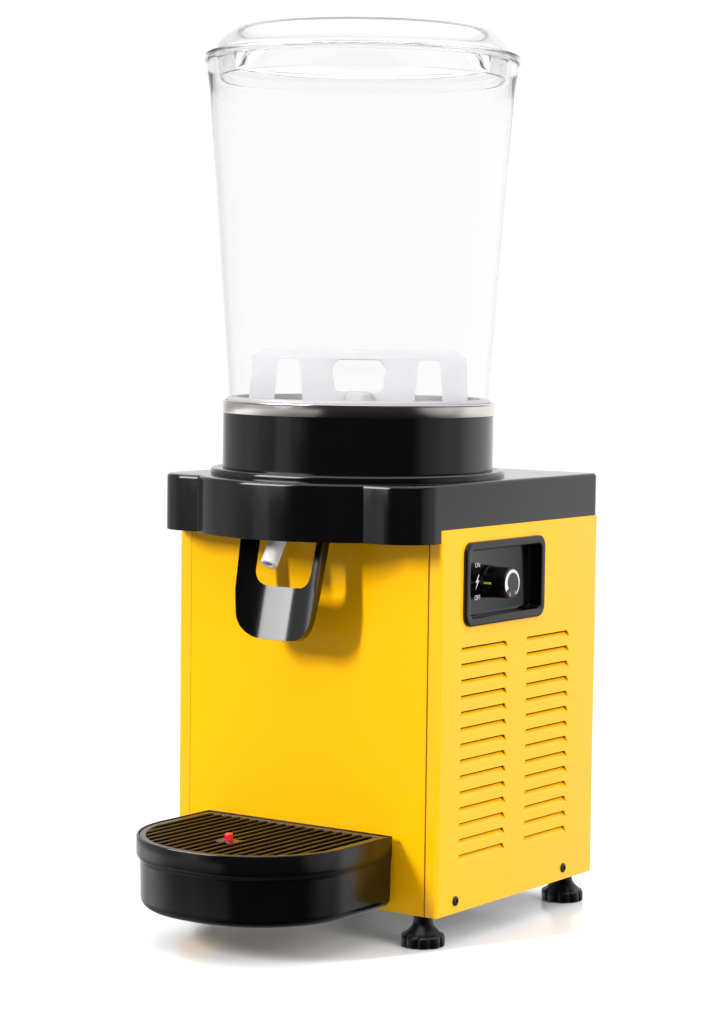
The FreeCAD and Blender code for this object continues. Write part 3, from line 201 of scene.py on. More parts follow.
class TapSettings(bpy.types.PropertyGroup):
    tube_radius: length("Tube radius", "Outer radius of the outlet tube", 0.0066)
    bore_radius: length("Bore radius", "Radius of the tube's bore", 0.0044)
    lean: angle("Lean", "Lean of the tube's lower run", 33.7)
    bend_radius: length("Bend radius", "Radius of the tube's bend", 0.025)
    half_width: length("Lever half width", "Half of the lever's width at the cover", 0.0401)
    waist_half: length("Waist half width", "Half of the lever's width at its waist", 0.0383)
    foot_half: length("Foot half width", "Half of the lever's width at its foot", 0.0328)
    waist_drop: length("Waist drop", "Depth of the lever's waist under the panel's top", 0.0525)
    foot_drop: length("Foot drop", "Depth of the lever's foot under the panel's top", 0.0855)
    sill_drop: length("Sill drop", "Depth of the window's sill under the panel's top", 0.0456)
    foot_corner: length("Foot corner", "Rounding of the lever's lower corners", 0.0205)
    curve: length("Lever curve", "Radius of the lever's hollow front", 0.069)
    wall: length("Lever wall", "Thickness of the lever", 0.005)
    leg: length("Lever leg", "Width of each leg beside the window", 0.0124)
    edge: length("Lever edge", "Rounding of the lever's edges", 0.0009)
    waist_corner: length("Waist corner", "Rounding of the lever's outline at its waist", 0.076)
    top_corner: length("Top corner", "Rounding of the lever's outline under its hubs", 0.060)
    sill_corner: length("Sill corner", "Rounding of the window's lower corners", 0.0124)
    window_taper: length("Window taper", "How much narrower the window is at its sill", 0.0022)
    mouth: share("Mouth", "Share of the tube's bore that its narrowed mouth keeps", 0.76)
    tilt: angle("Lever tilt", "Forward lean of the lever", 14)
    reach: length("Lever reach", "Depth of the lever's edges before the panel", 0.0314)
    hub: length("Hub radius", "Radius of the lever's hubs on the pin", 0.0075)
    silicone: colour("Silicone", "Milky tube", (0.74, 0.71, 0.72))


class TraySettings(bpy.types.PropertyGroup):
    corner: length("Corner radius", "Rounding of the tray's front in plan", 0.0833)
    band: length("Rim band", "Height of the rim band", 0.0135)
    cove: length("Cove", "Height of the cove under the rim band", 0.007)
    wall: length("Wall", "Thickness of the tray", 0.0028)
    side_step: length("Side step", "Step in under the rim band at the sides", 0.0009)
    step: length("Step", "Step in under the rim band in front", 0.0058)
    taper: length("Taper", "Draught of the basin", 0.0005)
    bottom_edge: length("Bottom edge", "Rounding of the tray's lower edge", 0.0075)
    tongues: length("Tongues", "Distance of the hanger's tongues from the middle", 0.052)
    slat_pitch: length("Slat pitch", "Distance between slats", 0.00895)
    slat_width: length("Slat width", "Width of a slat", 0.0020)
    slat_edge: length("Slat edge", "Rounding of the slats' edges", 0.0009)
    gaps: whole("Gaps", "Gaps between the grille's slats", 20, 4, 40)
    red: colour("Float red", "Plastic of the level float", (0.62, 0.008, 0.02))


class ControlSettings(bpy.types.PropertyGroup):
    rim: length("Bezel rim", "Width of the bezel's rim", 0.0065)
    corner: length("Bezel corner", "Rounding of the bezel's corners", 0.009)
    recess: length("Recess", "Depth of the recess behind the bezel's face", 0.011)
    mark_height: length("Mark height", "Height of the letters ON and OFF", 0.0037)
    figure_height: length("Figure height", "Height of the figures on the dial", 0.0029)
    dial_ring: length("Dial ring", "Outer radius of the printed ring on the dial", 0.0111)
    ring_wide: length("Ring's wide end", "Width of the ring beside the 5", 0.0052)
    ring_narrow: length("Ring's narrow end", "Width of the ring beside the 1", 0.0012)
    mark_white: colour("White print", "Ink of the ON and OFF marks", (0.78, 0.78, 0.80))
    mark_yellow: colour("Yellow print", "Ink of the pointer", (1.0, 0.78, 0.03))
    dial_grey: colour("Dial face", "Printed grey of the dial's face", (0.036, 0.035, 0.040))


class FootSettings(bpy.types.PropertyGroup):
    radius: length("Knob radius", "Radius over the lobes", 0.0172)
    neck: length("Neck radius", "Radius of the neck", 0.0075)
    knob: length("Knob height", "Height of the lobed band", 0.0095)
    lobes: whole("Lobes", "Lobes round the knob", 10, 3, 24)
    groove: length("Groove", "Depth of the grooves between the lobes", 0.0016)


class StageSettings(bpy.types.PropertyGroup):
    white: FloatProperty(name="White", description="Brightness of the backdrop to the camera",
                         default=1.04, min=0.0)
    floor_reach: length("Floor reach", "Radius of the lit floor", 1.5)
    floor_tone: share("Floor tone", "Grey value of the floor", 0.88)
    key_power: power("Key light", "Power of the key light", 46.0)
    card_power: power("Card", "Power of the card that black plastic mirrors", 74.0)
    side_power: power("Side light", "Power of the soft side light", 50.0)
    room: share("Room", "Brightness of the room behind the camera", 0.03)
    left: share("Left wall", "Share of the backdrop's light on the left wall", 0.45)
    glow: share("Glow", "Soft glow of the wall under the card", 0.25)
    low_glow: share("Low glow", "Glow low on the left, mirrored in the tray", 0.5)
    right_glow: share("Right glow", "Glow on the right, mirrored in the drum and its band", 0.42)
    bounce: share("Bounce", "Light that comes back from the ground", 0.50)
    flanks: share("Flanks", "Brightness of the walls beside the object", 0.30)
    backdrop: FloatProperty(name="Backdrop", description="Brightness of the backdrop",
                            default=1.05, min=0.0)
    ceiling: FloatProperty(name="Ceiling", description="Brightness of the lit ceiling",
                           default=2.0, min=0.0)


# Shader maths

class Signal:
    """A shader socket that takes part in Python expressions."""

    def __init__(self, finish, socket):
        self.finish = finish
        self.socket = socket

    def _maths(self, operation, *values):
        """A Math node on two values, of which one or both are sockets."""
        return self.finish.node("ShaderNodeMath", {"operation": operation},
                                dict(enumerate(values)))

    def __add__(self, other):
        return self._maths("ADD", self, other)

    def __radd__(self, other):
        return self._maths("ADD", other, self)

    def __sub__(self, other):
        return self._maths("SUBTRACT", self, other)

    def __rsub__(self, other):
        return self._maths("SUBTRACT", other, self)

    def __mul__(self, other):
        return self._maths("MULTIPLY", self, other)

    def __rmul__(self, other):
        return self._maths("MULTIPLY", other, self)

    def between(self, low, high):
        """0 below low, 1 above high, and smooth in between."""
        return self.finish.node("ShaderNodeMapRange", {"interpolation_type": "SMOOTHSTEP"},
                                {"Value": self, "From Min": low, "From Max": high})


class Finish:
    """A material drawn from nodes, or the world's sky."""

    def __init__(self, name, tree=None):
        if tree is None:
            self.material = bpy.data.materials.new(name)
            self.material.use_nodes = True
            tree = self.material.node_tree
        self.tree = tree
        tree.nodes.clear()

    def node(self, kind, options=None, values=None, output=0):
        """Any node, with its options set, its inputs set or linked, and one output returned."""
        made = self.tree.nodes.new(kind)
        for key, value in (options or {}).items():
            setattr(made, key, value)
        for key, value in (values or {}).items():
            if isinstance(value, Signal):
                self.tree.links.new(value.socket, made.inputs[key])
            elif made.inputs[key].type == "RGBA" and len(value) == 3:
                made.inputs[key].default_value = tuple(value) + (1.0,)
            else:
                made.inputs[key].default_value = value
        return Signal(self, made.outputs[output]) if made.outputs else made

    def place(self, scale=(1, 1, 1)):
        """Position on the piece, in metres, stretched by a scale."""
        spot = self.node("ShaderNodeTexCoord", output="Object")
        return self.node("ShaderNodeMapping", None, {"Vector": spot, "Scale": scale})

    def noise(self, scale, detail=2.0, roughness=0.5, stretch=(1, 1, 1)):
        """Noise over the piece, from 0 to 1."""
        return self.node("ShaderNodeTexNoise", None, {
            "Vector": self.place(stretch), "Scale": scale, "Detail": detail,
            "Roughness": roughness})

    def blend(self, factor, first, second):
        """Colour that goes from the first to the second."""
        return self.node("ShaderNodeMix", {"data_type": "RGBA"}, {
            0: factor, 6: first, 7: second}, output=2)

    def bump(self, height, distance, strength):
        """Normal of a surface that rises and falls with a height."""
        return self.node("ShaderNodeBump", None, {
            "Height": height, "Distance": distance, "Strength": strength})

    def facing(self, way, direction):
        """How nearly a direction of the sky points one way: 1 straight at it, -1 away."""
        return self.node("ShaderNodeVectorMath", {"operation": "DOT_PRODUCT"},
                         {0: way, 1: direction}, output="Value")

    def surface(self, **values):
        """The finished material; a value's name is the socket's, with _ for each space."""
        shader = self.node("ShaderNodeBsdfPrincipled", None,
                           {key.replace("_", " "): value for key, value in values.items()})
        self.node("ShaderNodeOutputMaterial", None, {"Surface": shader})
        return self.material


def tinted(tone, factor):
    """A colour made lighter or darker."""
    return tuple(min(1.0, part * factor) for part in tone)


# Finishes

def powder_coat(name, tone, roughness, sheen, peel):
    """Semi gloss powder coat: faint clouding, fine orange peel and a few dust specks."""
    finish = Finish(name)
    cloud = finish.noise(9.0, 3.0)
    fine = finish.noise(620.0, 2.0)
    speck = finish.noise(1900.0, 1.0).between(0.74, 0.80)
    base = finish.blend(cloud.between(0.3, 0.7), tinted(tone, 0.985), tinted(tone, 1.01))
    base = finish.blend(speck * 0.12, base, tinted(tone, 0.7))
    rough = roughness + (cloud - 0.5) * 0.06 + (fine - 0.5) * 0.10
    return finish.surface(Base_Color=base, Roughness=rough, Specular_IOR_Level=sheen,
                          Normal=finish.bump(fine, peel * 8, 0.35))


def moulded(name, tone, roughness, grain=0.00002, grain_scale=900.0, coat=0.0):
    """Moulded plastic: slight flow clouding, fine grain and a trace of handling in its gloss."""
    finish = Finish(name)
    cloud = finish.noise(22.0, 4.0)
    fine = finish.noise(grain_scale, 3.0)
    rubbed = finish.noise(60.0, 5.0, 0.65, (1.0, 1.0, 0.4)).between(0.45, 0.75)
    base = finish.blend(cloud, tinted(tone, 0.88), tinted(tone, 1.12))
    rough = roughness + (cloud - 0.5) * 0.08 + rubbed * 0.05
    return finish.surface(Base_Color=base, Roughness=rough, Coat_Weight=coat, Coat_Roughness=0.08,
                          Normal=finish.bump(fine, grain * 10, 0.3))


def brushed(name, tone, roughness, stretch):
    """Metal with fine brush lines along one direction."""
    finish = Finish(name)
    lines = finish.noise(1.0, 4.0, 0.7, stretch)
    broad = finish.noise(14.0, 3.0)
    base = finish.blend(lines, tinted(tone, 0.86), tinted(tone, 1.08))
    rough = roughness + (lines - 0.5) * 0.16 + (broad - 0.5) * 0.08
    return finish.surface(Base_Color=base, Metallic=1.0, Roughness=rough,
                          Normal=finish.bump(lines, 0.00008, 0.25))


def plated(name, tone, roughness):
    """Zinc plate with its faint spangle."""
    finish = Finish(name)
    cells = finish.node("ShaderNodeTexVoronoi", {"feature": "F1"},
                        {"Vector": finish.place(), "Scale": 160.0}, output="Color")
    grey = finish.node("ShaderNodeRGBToBW", None, {"Color": cells})
    base = finish.blend(grey, tinted(tone, 0.86), tinted(tone, 1.06))
    rough = roughness + grey * 0.14
    return finish.surface(Base_Color=base, Metallic=1.0, Roughness=rough)


def clear_plastic(name, tone):
    """Clear moulded plastic with faint waves from the mould and hairline wiping marks."""
    finish = Finish(name)
    wave = finish.noise(16.0, 2.0)
    wiped = finish.noise(1.0, 3.0, 0.6, (900.0, 900.0, 30.0)).between(0.62, 0.9)
    return finish.surface(Base_Color=tone, Roughness=0.012 + wiped * 0.05,
                          Transmission_Weight=1.0, IOR=1.33, Specular_IOR_Level=0.2,
                          Normal=finish.bump(wave, 0.0004, 0.12))


def milky(name, tone, roughness, clearness, depth):
    """Milky silicone or plastic that lets some light through."""
    finish = Finish(name)
    cloud = finish.noise(120.0, 3.0)
    fine = finish.noise(1400.0, 2.0)
    base = finish.blend(cloud, tinted(tone, 0.95), tinted(tone, 1.04))
    return finish.surface(Base_Color=base, Roughness=roughness + (cloud - 0.5) * 0.1,
                          Transmission_Weight=clearness, Subsurface_Weight=0.35,
                          Subsurface_Radius=(depth, depth, depth), Subsurface_Scale=1.0,
                          IOR=1.41, Normal=finish.bump(fine, 0.0001, 0.2))


def lacquer(name, tone, roughness):
    """Plain lacquer on castings and cans, with soft unevenness."""
    finish = Finish(name)
    uneven = finish.noise(45.0, 4.0, 0.6)
    fine = finish.noise(700.0, 2.0)
    base = finish.blend(uneven, tinted(tone, 0.8), tinted(tone, 1.15))
    return finish.surface(Base_Color=base, Roughness=roughness + (uneven - 0.5) * 0.12,
                          Normal=finish.bump(fine, 0.0002, 0.3))


def printed(name, tone):
    """Screen printed ink with a slightly broken surface."""
    finish = Finish(name)
    thin = finish.noise(2600.0, 2.0).between(0.3, 0.7)
    base = finish.blend(thin, tinted(tone, 0.86), tone)
    return finish.surface(Base_Color=base, Roughness=0.45 + (thin - 0.5) * 0.1)


def foamed(name, tone):
    """Rigid foam with its open cells."""
    finish = Finish(name)
    cells = finish.node("ShaderNodeTexVoronoi", {"feature": "F1"},
                        {"Vector": finish.place(), "Scale": 900.0})
    base = finish.blend(cells.between(0.1, 0.6), tinted(tone, 0.75), tone)
    return finish.surface(Base_Color=base, Roughness=0.85,
                          Normal=finish.bump(cells, 0.0006, 0.6))


# Shapes, each a list of points and a list of faces

def arc(cx, cy, radius, start, end, steps):
    """Points along an arc in plan; the angles are in degrees."""
    turn = [math.radians(start + (end - start) * i / steps) for i in range(steps + 1)]
    return [(cx + radius * math.cos(a), cy + radius * math.sin(a)) for a in turn]


def soften(corners, steps=6):
    """Closed outline through (x, y, radius) corners, each with its own rounding."""
    points = []
    for i, (x, y, radius) in enumerate(corners):
        here = Vector((x, y))
        back = (Vector(corners[i - 1][:2]) - here).normalized()
        on = (Vector(corners[(i + 1) % len(corners)][:2]) - here).normalized()
        half = back.angle(on) / 2
        if radius <= 0 or abs(half - math.pi / 2) < 1e-4:
            points.append((x, y))
            continue
        reach = radius / math.tan(half)
        middle = here + (back + on).normalized() * radius / math.sin(half)
        start, end = here + back * reach - middle, here + on * reach - middle
        sweep = start.angle_signed(end)
        for step in range(steps + 1):
            turn = -sweep * step / steps
            points.append((middle.x + start.x * math.cos(turn) - start.y * math.sin(turn),
                           middle.y + start.x * math.sin(turn) + start.y * math.cos(turn)))
    return points


def lofted(rings, first_cap=True, last_cap=True, loop=False):
    """Skin over rings that all have as many points."""
    count = len(rings[0])
    points = [Vector(p) for ring in rings for p in ring]
    faces = []
    last = len(rings) if loop else len(rings) - 1
    for i in range(last):
        low, high = i * count, (i + 1) % len(rings) * count
        for j in range(count):
            k = (j + 1) % count
            faces.append((low + j, low + k, high + k, high + j))
    if not loop:
        if first_cap:
            faces.append(tuple(range(count))[::-1])
        if last_cap:
            faces.append(tuple((len(rings) - 1) * count + j for j in range(count)))
    return points, faces


def turned(outline, steps, x=0.0, y=0.0, axis_x=X, axis_y=Y, axis_z=Z, origin=None):
    """Closed (radius, height) outline turned about an upright axis of the cabinet."""
    origin = at(x, y, 0) if origin is None else origin
    points, faces, rows = [], [], []
    for radius, z in outline:
        if radius < 1e-7:
            rows.append([len(points)] * steps)
            points.append(origin + axis_z * z)
            continue
        rows.append(list(range(len(points), len(points) + steps)))
        for i in range(steps):
            turn = math.tau * i / steps
            points.append(origin + axis_x * (radius * math.cos(turn))
                          + axis_y * (radius * math.sin(turn)) + axis_z * z)
    for a, b in zip(rows, rows[1:] + rows[:1]):
        if a[0] == a[1] and b[0] == b[1]:
            continue
        for i in range(steps):
            k = (i + 1) % steps
            corners = list(dict.fromkeys((a[i], a[k], b[k], b[i])))
            faces.append(tuple(corners))
    return points, faces


def rod(radius, low, high, steps, y):
    """Upright solid round bar in the middle plane."""
    return turned([(0, low), (radius, low), (radius, high), (0, high)], steps, 0, y)


def prism(outline, low, high, origin=None, axis_x=X, axis_y=Y, axis_z=Z):
    """Outline in plan, carried from one height to another."""
    origin = at(0, 0, 0) if origin is None else origin
    rings = [[origin + axis_x * p[0] + axis_y * p[1] + axis_z * z for p in outline]
             for z in (low, high)]
    return lofted(rings)


def block(x0, x1, y0, y1, z0, z1):
    """Plain box between six distances from HOME."""
    return prism([(x0, y0), (x1, y0), (x1, y1), (x0, y1)], z0, z1)


def joined(*shapes):
    """Several shapes as one."""
    points, faces = [], []
    for more, skins in shapes:
        shift = len(points)
        points += more
        faces += [tuple(i + shift for i in face) for face in skins]
    return points, faces


def moved(shape, matrix):
    """Shape carried by a matrix."""
    return [matrix @ Vector(p) for p in shape[0]], shape[1]


def basis(origin, axis_x, axis_y, axis_z):
    """Matrix that carries a drawing's own X, Y and Z to three directions at a point."""
    matrix = Matrix((axis_x, axis_y, axis_z)).transposed().to_4x4()
    matrix.translation = origin
    return matrix


def mesh_of(shape, name="shape"):
    """Mesh of a shape, with its faces turned outwards."""
    mesh = bpy.data.meshes.new(name)
    mesh.from_pydata([tuple(p) for p in shape[0]], [], shape[1])
    mesh.validate()
    work = bmesh.new()
    work.from_mesh(mesh)
    bmesh.ops.recalc_face_normals(work, faces=work.faces)
    work.to_mesh(mesh)
    work.free()
    return mesh


def shape_of(mesh):
    """Shape of a mesh."""
    return [v.co.copy() for v in mesh.vertices], [tuple(p.vertices) for p in mesh.polygons]


def placed(name, data):
    """Object in the scene."""
    made = bpy.data.objects.new(name, data)
    bpy.context.scene.collection.objects.link(made)
    return made


def evaluated(thing, weld=False):
    """Shape of an object once its modifiers are done; the object is removed."""
    bpy.context.view_layer.update()
    graph = bpy.context.evaluated_depsgraph_get()
    mesh = bpy.data.meshes.new_from_object(thing.evaluated_get(graph))
    if weld:
        work = bmesh.new()
        work.from_mesh(mesh)
        bmesh.ops.remove_doubles(work, verts=work.verts, dist=1e-6)
        bmesh.ops.dissolve_degenerate(work, edges=work.edges, dist=1e-6)
        work.to_mesh(mesh)
        work.free()
    shape = shape_of(mesh)
    bpy.data.objects.remove(thing)
    bpy.data.meshes.remove(mesh)
    return shape


def carved(shape, *cutters, operation="DIFFERENCE"):
    """Shape less its cutters, or what it shares with them."""
    thing = placed("work", mesh_of(shape))
    tools = [placed("tool", mesh_of(cutter)) for cutter in cutters]
    for tool in tools:
        cut = thing.modifiers.new("cut", "BOOLEAN")
        cut.operation = operation
        cut.solver = "EXACT"
        cut.object = tool
    result = evaluated(thing)
    for tool in tools:
        bpy.data.objects.remove(tool)
    return result


def plate(outlines, thickness, edge):
    """Flat plate with holes and rounded edges, about its own middle plane."""
    curve = bpy.data.curves.new("plate", "CURVE")
    curve.dimensions = "2D"
    curve.fill_mode = "BOTH"
    curve.extrude = thickness / 2 - edge
    curve.bevel_depth = edge
    curve.bevel_resolution = 2
    curve.offset = -edge
    for outline in outlines:
        spline = curve.splines.new("POLY")
        spline.points.add(len(outline) - 1)
        for point, (x, y) in zip(spline.points, outline):
            point.co = (x, y, 0, 1)
        spline.use_cyclic_u = True
    return evaluated(placed("plate", curve), weld=True)


def rounded_rim(shape, z, width, steps):
    """Shape with its level edges at one height rounded off."""
    work = bmesh.new()
    work.from_mesh(mesh_of(shape))
    rim = [e for e in work.edges if all(abs(v.co.z - z) < 1e-6 for v in e.verts)]
    bmesh.ops.bevel(work, geom=rim, offset=width, segments=steps, profile=0.5, affect="EDGES")
    mesh = bpy.data.meshes.new("rim")
    work.to_mesh(mesh)
    work.free()
    return shape_of(mesh)


def piece(name, shape, body, material, stands_for=(), ease=0.0, sharp=32.0, steps=2):
    """Finished piece on its body, smooth except at edges sharper than so many degrees."""
    mesh = mesh_of(shape, name)
    mesh.shade_smooth()
    mesh.set_sharp_from_angle(angle=math.radians(sharp))
    mesh.materials.append(material)
    made = placed(name, mesh)
    if ease:
        rounding = made.modifiers.new("eased edges", "BEVEL")
        rounding.width = ease
        rounding.segments = steps
        rounding.limit_method = "ANGLE"
        rounding.angle_limit = math.radians(38)
        rounding.harden_normals = True
    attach(made, body)
    if stands_for:
        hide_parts(*stands_for)
    return made


def dress(material, *nodes):
    """Give carried-over nodes a finish."""
    for name in nodes:
        node = frame["nodes"][name]
        if not node.material_slots:
            node.data.materials.append(material)
        for place in node.material_slots:
            place.material = material


def lettering(text, cap_height):
    """Flat letters about their own middle, a tenth of a millimetre thick."""
    curve = bpy.data.curves.new(text, "FONT")
    curve.body = text
    curve.align_x = "CENTER"
    curve.align_y = "CENTER"
    curve.size = cap_height / 0.70
    curve.extrude = 0.00005
    return evaluated(placed(text, curve))


def settings(context):
    """The values that the sidebar holds."""
    return context.scene.dispenser


class Make:
    """What every operator that makes a piece shares."""
    bl_options = {"REGISTER", "UNDO"}


class PanelsOperator(Make, bpy.types.Operator):
    """Powder coat on the louvred side panels, the front and the rear, and their screws"""
    bl_idname = "dispenser.panels"
    bl_label = "Panels and screws"

    def execute(self, context):
        look = settings(context).cabinet
        coat = powder_coat("yellow powder coat", look.paint, look.paint_roughness,
                           look.paint_sheen, look.orange_peel)
        front_coat = powder_coat("yellow front coat", look.paint, look.paint_roughness,
                                 look.front_sheen, look.orange_peel)
        dress(front_coat, "front_panel")
        dress(coat, "rear_panel")
        hole = lofted([bezel_ring(settings(context).control, BEZEL_LAP, x)
                       for x in (side_high.x - PAST, side_high.x + PAST)])
        points, faces = side_panel(look, look.far_seam)
        mirrored = [Vector((2 * HOME.x - p.x, p.y, p.z)) for p in points]
        piece("right_side", side_panel(look, look.seam, hole), "cabinet", coat,
              ("right_side_panel",))
        piece("left_side", (mirrored, faces), "cabinet", coat,
              ("left_side_panel",))
        black = lacquer("black oxide", (0.018, 0.017, 0.017), 0.42)
        for node, face in (("side_screws", "x"), ("rear_screws", "y")):
            heads = [screw_head(low, high, face, look.screw_head)
                     for low, high in screw_boxes(node)]
            piece(node + "_heads", joined(*heads), "cabinet", black, (node,))
        return {"FINISHED"}


def side_panel(look, seam, *openings):
    """Right side panel: a folded channel with two columns of pressed louvres.

    Only the channel is carved, since the lip and the tongues share faces with it.
    """
    face, rear, top = side_high
    sheet, inner = look.sheet, face - look.sheet
    front_fold, rear_fold = front_high.x + seam, face - look.rear_fold
    channel = prism(soften([
        (front_fold, 0, 0), (face, 0, look.bend), (face, rear, look.bend),
        (rear_fold, rear, 0), (rear_fold, rear - sheet, 0),
        (inner, rear - sheet, look.bend - sheet), (inner, sheet, look.bend - sheet),
        (front_fold, sheet, 0)]), 0, top)
    lip = block(inner - look.lip, inner, look.rear_fold, rear - look.rear_fold, top - sheet, top)
    louvres = [louvre(look, face, near, far, look.first_slit + row * look.pitch)
               for row in range(look.rows) for near, far in LOUVRE_COLUMNS]
    slits, tongues = zip(*louvres)
    return joined(carved(channel, joined(*slits), *openings), lip, *tongues)


def louvre(look, face, near, far, slit):
    """Opening of one louvre, and the tongue that slopes in from its lower edge."""
    high = slit + look.slit / 2
    low, tip = high - look.louvre_tall, high - look.slit
    slope, reach = look.louvre_slope, 0.004
    opening = prism([(near, low), (far, low), (far - slope, high), (near + slope, high)],
                    face - reach, face + reach, HOME, Y, Z, X)
    lean = slope * (tip - low) / (high - low)
    rings = [[at(x, near, low), at(x, far, low), at(x - look.louvre_deep, far - lean, tip),
              at(x - look.louvre_deep, near + lean, tip)] for x in (face, face - look.sheet)]
    return opening, lofted(rings)


def screw_boxes(node):
    """Lowest and highest corners of each separate head of a screw node."""
    work = bmesh.new()
    work.from_mesh(frame["nodes"][node].data)
    bmesh.ops.remove_doubles(work, verts=work.verts, dist=1e-6)
    left = set(work.verts)
    boxes = []
    while left:
        group, edge = set(), [left.pop()]
        while edge:
            vert = edge.pop()
            group.add(vert)
            for link in vert.link_edges:
                other = link.other_vert(vert)
                if other in left:
                    left.discard(other)
                    edge.append(other)
        low = Vector([min(v.co[i] for v in group) for i in range(3)])
        high = Vector([max(v.co[i] for v in group) for i in range(3)])
        boxes.append((low, high))
    work.free()
    return boxes


def screw_head(low, high, face, radius):
    """Low domed head with a socket, seated on a panel that faces along x or y."""
    middle = (low + high) / 2
    if face == "x":
        out = X if middle.x > HOME.x else -X
        seat = Vector((low.x if out.x > 0 else high.x, middle.y, middle.z))
        across = Y
    else:
        out = Y
        seat = Vector((middle.x, low.y, middle.z))
        across = X
    tall = 0.0016
    outline = [(0, 0.0), (radius, 0.0), (radius, tall * 0.35), (radius * 0.94, tall * 0.62),
               (radius * 0.8, tall * 0.86), (radius * 0.62, tall), (radius * 0.42, tall),
               (radius * 0.40, tall * 0.2), (0, tall * 0.12)]
    return turned(outline, 36, axis_x=across, axis_y=out.cross(across), axis_z=out, origin=seat)


def cover_plan(look, inset):
    """Plan of the cover: straight sides, rounded wings and a round bulge about the bowl.

    The right half is drawn from the middle of the bulge to the rear, and then mirrored.
    """
    half = (cover_high.x - cover_low.x) / 2 - inset
    front = -(look.wing - inset)
    rear = cover_high.y - inset
    middle = BOWL_Y - look.bulge_ahead
    radius = middle - (cover_low.y) - inset
    crease = look.crease + inset
    corner = max(look.corner - inset, 0.001)
    back = max(look.rear_corner - inset, 0.001)
    away = middle - (front - crease)
    crease_x = math.sqrt((radius + crease) ** 2 - away ** 2)
    slope = math.degrees(math.atan2(away, crease_x))
    right = arc(0, middle, radius, -90, -slope, 48)
    right += arc(crease_x, front - crease, crease, 180 - slope, 90, 8)[1:]
    right += arc(half - corner, front + corner, corner, -90, 0, 20)
    right += arc(half - back, rear - back, back, 0, 90, 8)
    left = [(-x, y) for x, y in reversed(right[1:])]
    return right + left


class CoverOperator(Make, bpy.types.Operator):
    """Moulded black cover with its deeper skirt in front and the well for the bowl base"""
    bl_idname = "dispenser.cover"
    bl_label = "Top cover"

    def execute(self, context):
        look = settings(context).cabinet
        bowl = settings(context).bowl
        low, high = cover_low.z, cover_high.z
        skirt = high - look.side_skirt
        outer = prism(cover_plan(look, 0), low, high)
        outer = rounded_rim(outer, at(0, 0, high).z, look.edge, 5)
        wide, deep = 0.2, 0.4
        step = block(-wide, wide, -look.step, deep, low - PAST, skirt)
        cavity = prism(cover_plan(look, look.wall), low - PAST, high - look.wall)
        well = prism(arc(0, BOWL_Y, bowl.well_radius, 0, 360, 128)[:-1], skirt, high + PAST)
        shell = carved(outer, step, cavity, well)
        black = moulded("black gloss plastic", look.black, 0.12, 0.000004, 500.0)
        piece("cover_shell", shell, "cabinet", black, ("top_cover",),
              ease=0.0004)
        return {"FINISHED"}


class BowlBaseOperator(Make, bpy.types.Operator):
    """Collar, black drum and steel band under the bowl"""
    bl_idname = "dispenser.bowl_base"
    bl_label = "Bowl base"

    def execute(self, context):
        look = settings(context).cabinet
        bowl = settings(context).bowl
        steps = bowl.sides
        gloss = moulded("black drum plastic", look.black, 0.12, 0.000004, 500.0)
        seat = cover_high.z
        tall, wall, round_off = bowl.collar_height, 0.0027, 0.0028
        inner = bowl.drum_radius + 0.0002
        outer = bowl.collar_radius
        collar = [(bowl.well_radius, seat), (outer, seat), (outer, seat + tall * 0.35)]
        collar += arc(outer - round_off, seat + tall * 0.46, round_off, 0, 90, 6)
        collar += [(inner + 0.0042, seat + tall), (inner + 0.0030, seat + tall * 0.86),
                   (inner + 0.0012, seat + tall * 0.80), (inner, seat + tall * 0.80),
                   (inner, seat + wall), (bowl.well_radius, seat + wall)]
        piece("collar_ring", turned(collar, steps, 0, BOWL_Y), "cabinet", gloss,
              ("bowl_collar",))
        bottom, top = drum_low.z, drum_high.z + bowl.band_lift
        radius, shaft_hole, tube_hole, floor = bowl.drum_radius, 0.012, 0.0096, 0.003
        drum = [(shaft_hole, bottom), (radius - 0.0008, bottom), (radius, bottom + 0.0008),
                (radius, top - 0.0003), (radius - 0.0003, top), (bowl.well_radius, top),
                (bowl.well_radius, bottom + floor), (shaft_hole, bottom + floor)]
        tube_y = tube_axis(settings(context).tap)
        hole = rod(tube_hole, bottom - PAST, bottom + PAST, 32, tube_y)
        piece("drum_shell", carved(turned(drum, steps, 0, BOWL_Y), hole), "cabinet", gloss,
              ("evaporator_housing",))
        low, high = dish_low.z, dish_high.z
        edge = top + bowl.band_height
        rim, bead, shaft_hole = radius + 0.0003, 0.0006, 0.009
        drain_bore, drain_radius = 0.0034, 0.0044
        dish = [(shaft_hole, high - 0.001), (rim - 0.001, high - 0.001), (rim - 0.001, top),
                (rim - 0.0002, top), (rim, top + 0.0004), (rim, edge - 0.0016),
                (rim + bead, edge - 0.0009)]
        dish += arc(rim, edge - bead, bead, 0, 90, 5)
        dish += [(rim - 0.0022, edge), (rim - 0.0022, high), (0.03, high - 0.0002),
                 (shaft_hole, high - 0.0002)]
        drain = rod(drain_bore, low, high + PAST, 32, tube_y)
        spigot = turned([(drain_bore, low), (drain_radius, low), (drain_radius, high - 0.001),
                         (drain_bore, high - 0.001)], 32, 0, tube_y)
        steel = brushed("turned stainless steel", (0.76, 0.71, 0.68), 0.16, (6.0, 6.0, 2600.0))
        piece("dish_skin", joined(carved(turned(dish, steps, 0, BOWL_Y), drain), spigot),
              "cabinet", steel, ("evaporator_dish",))
        return {"FINISHED"}


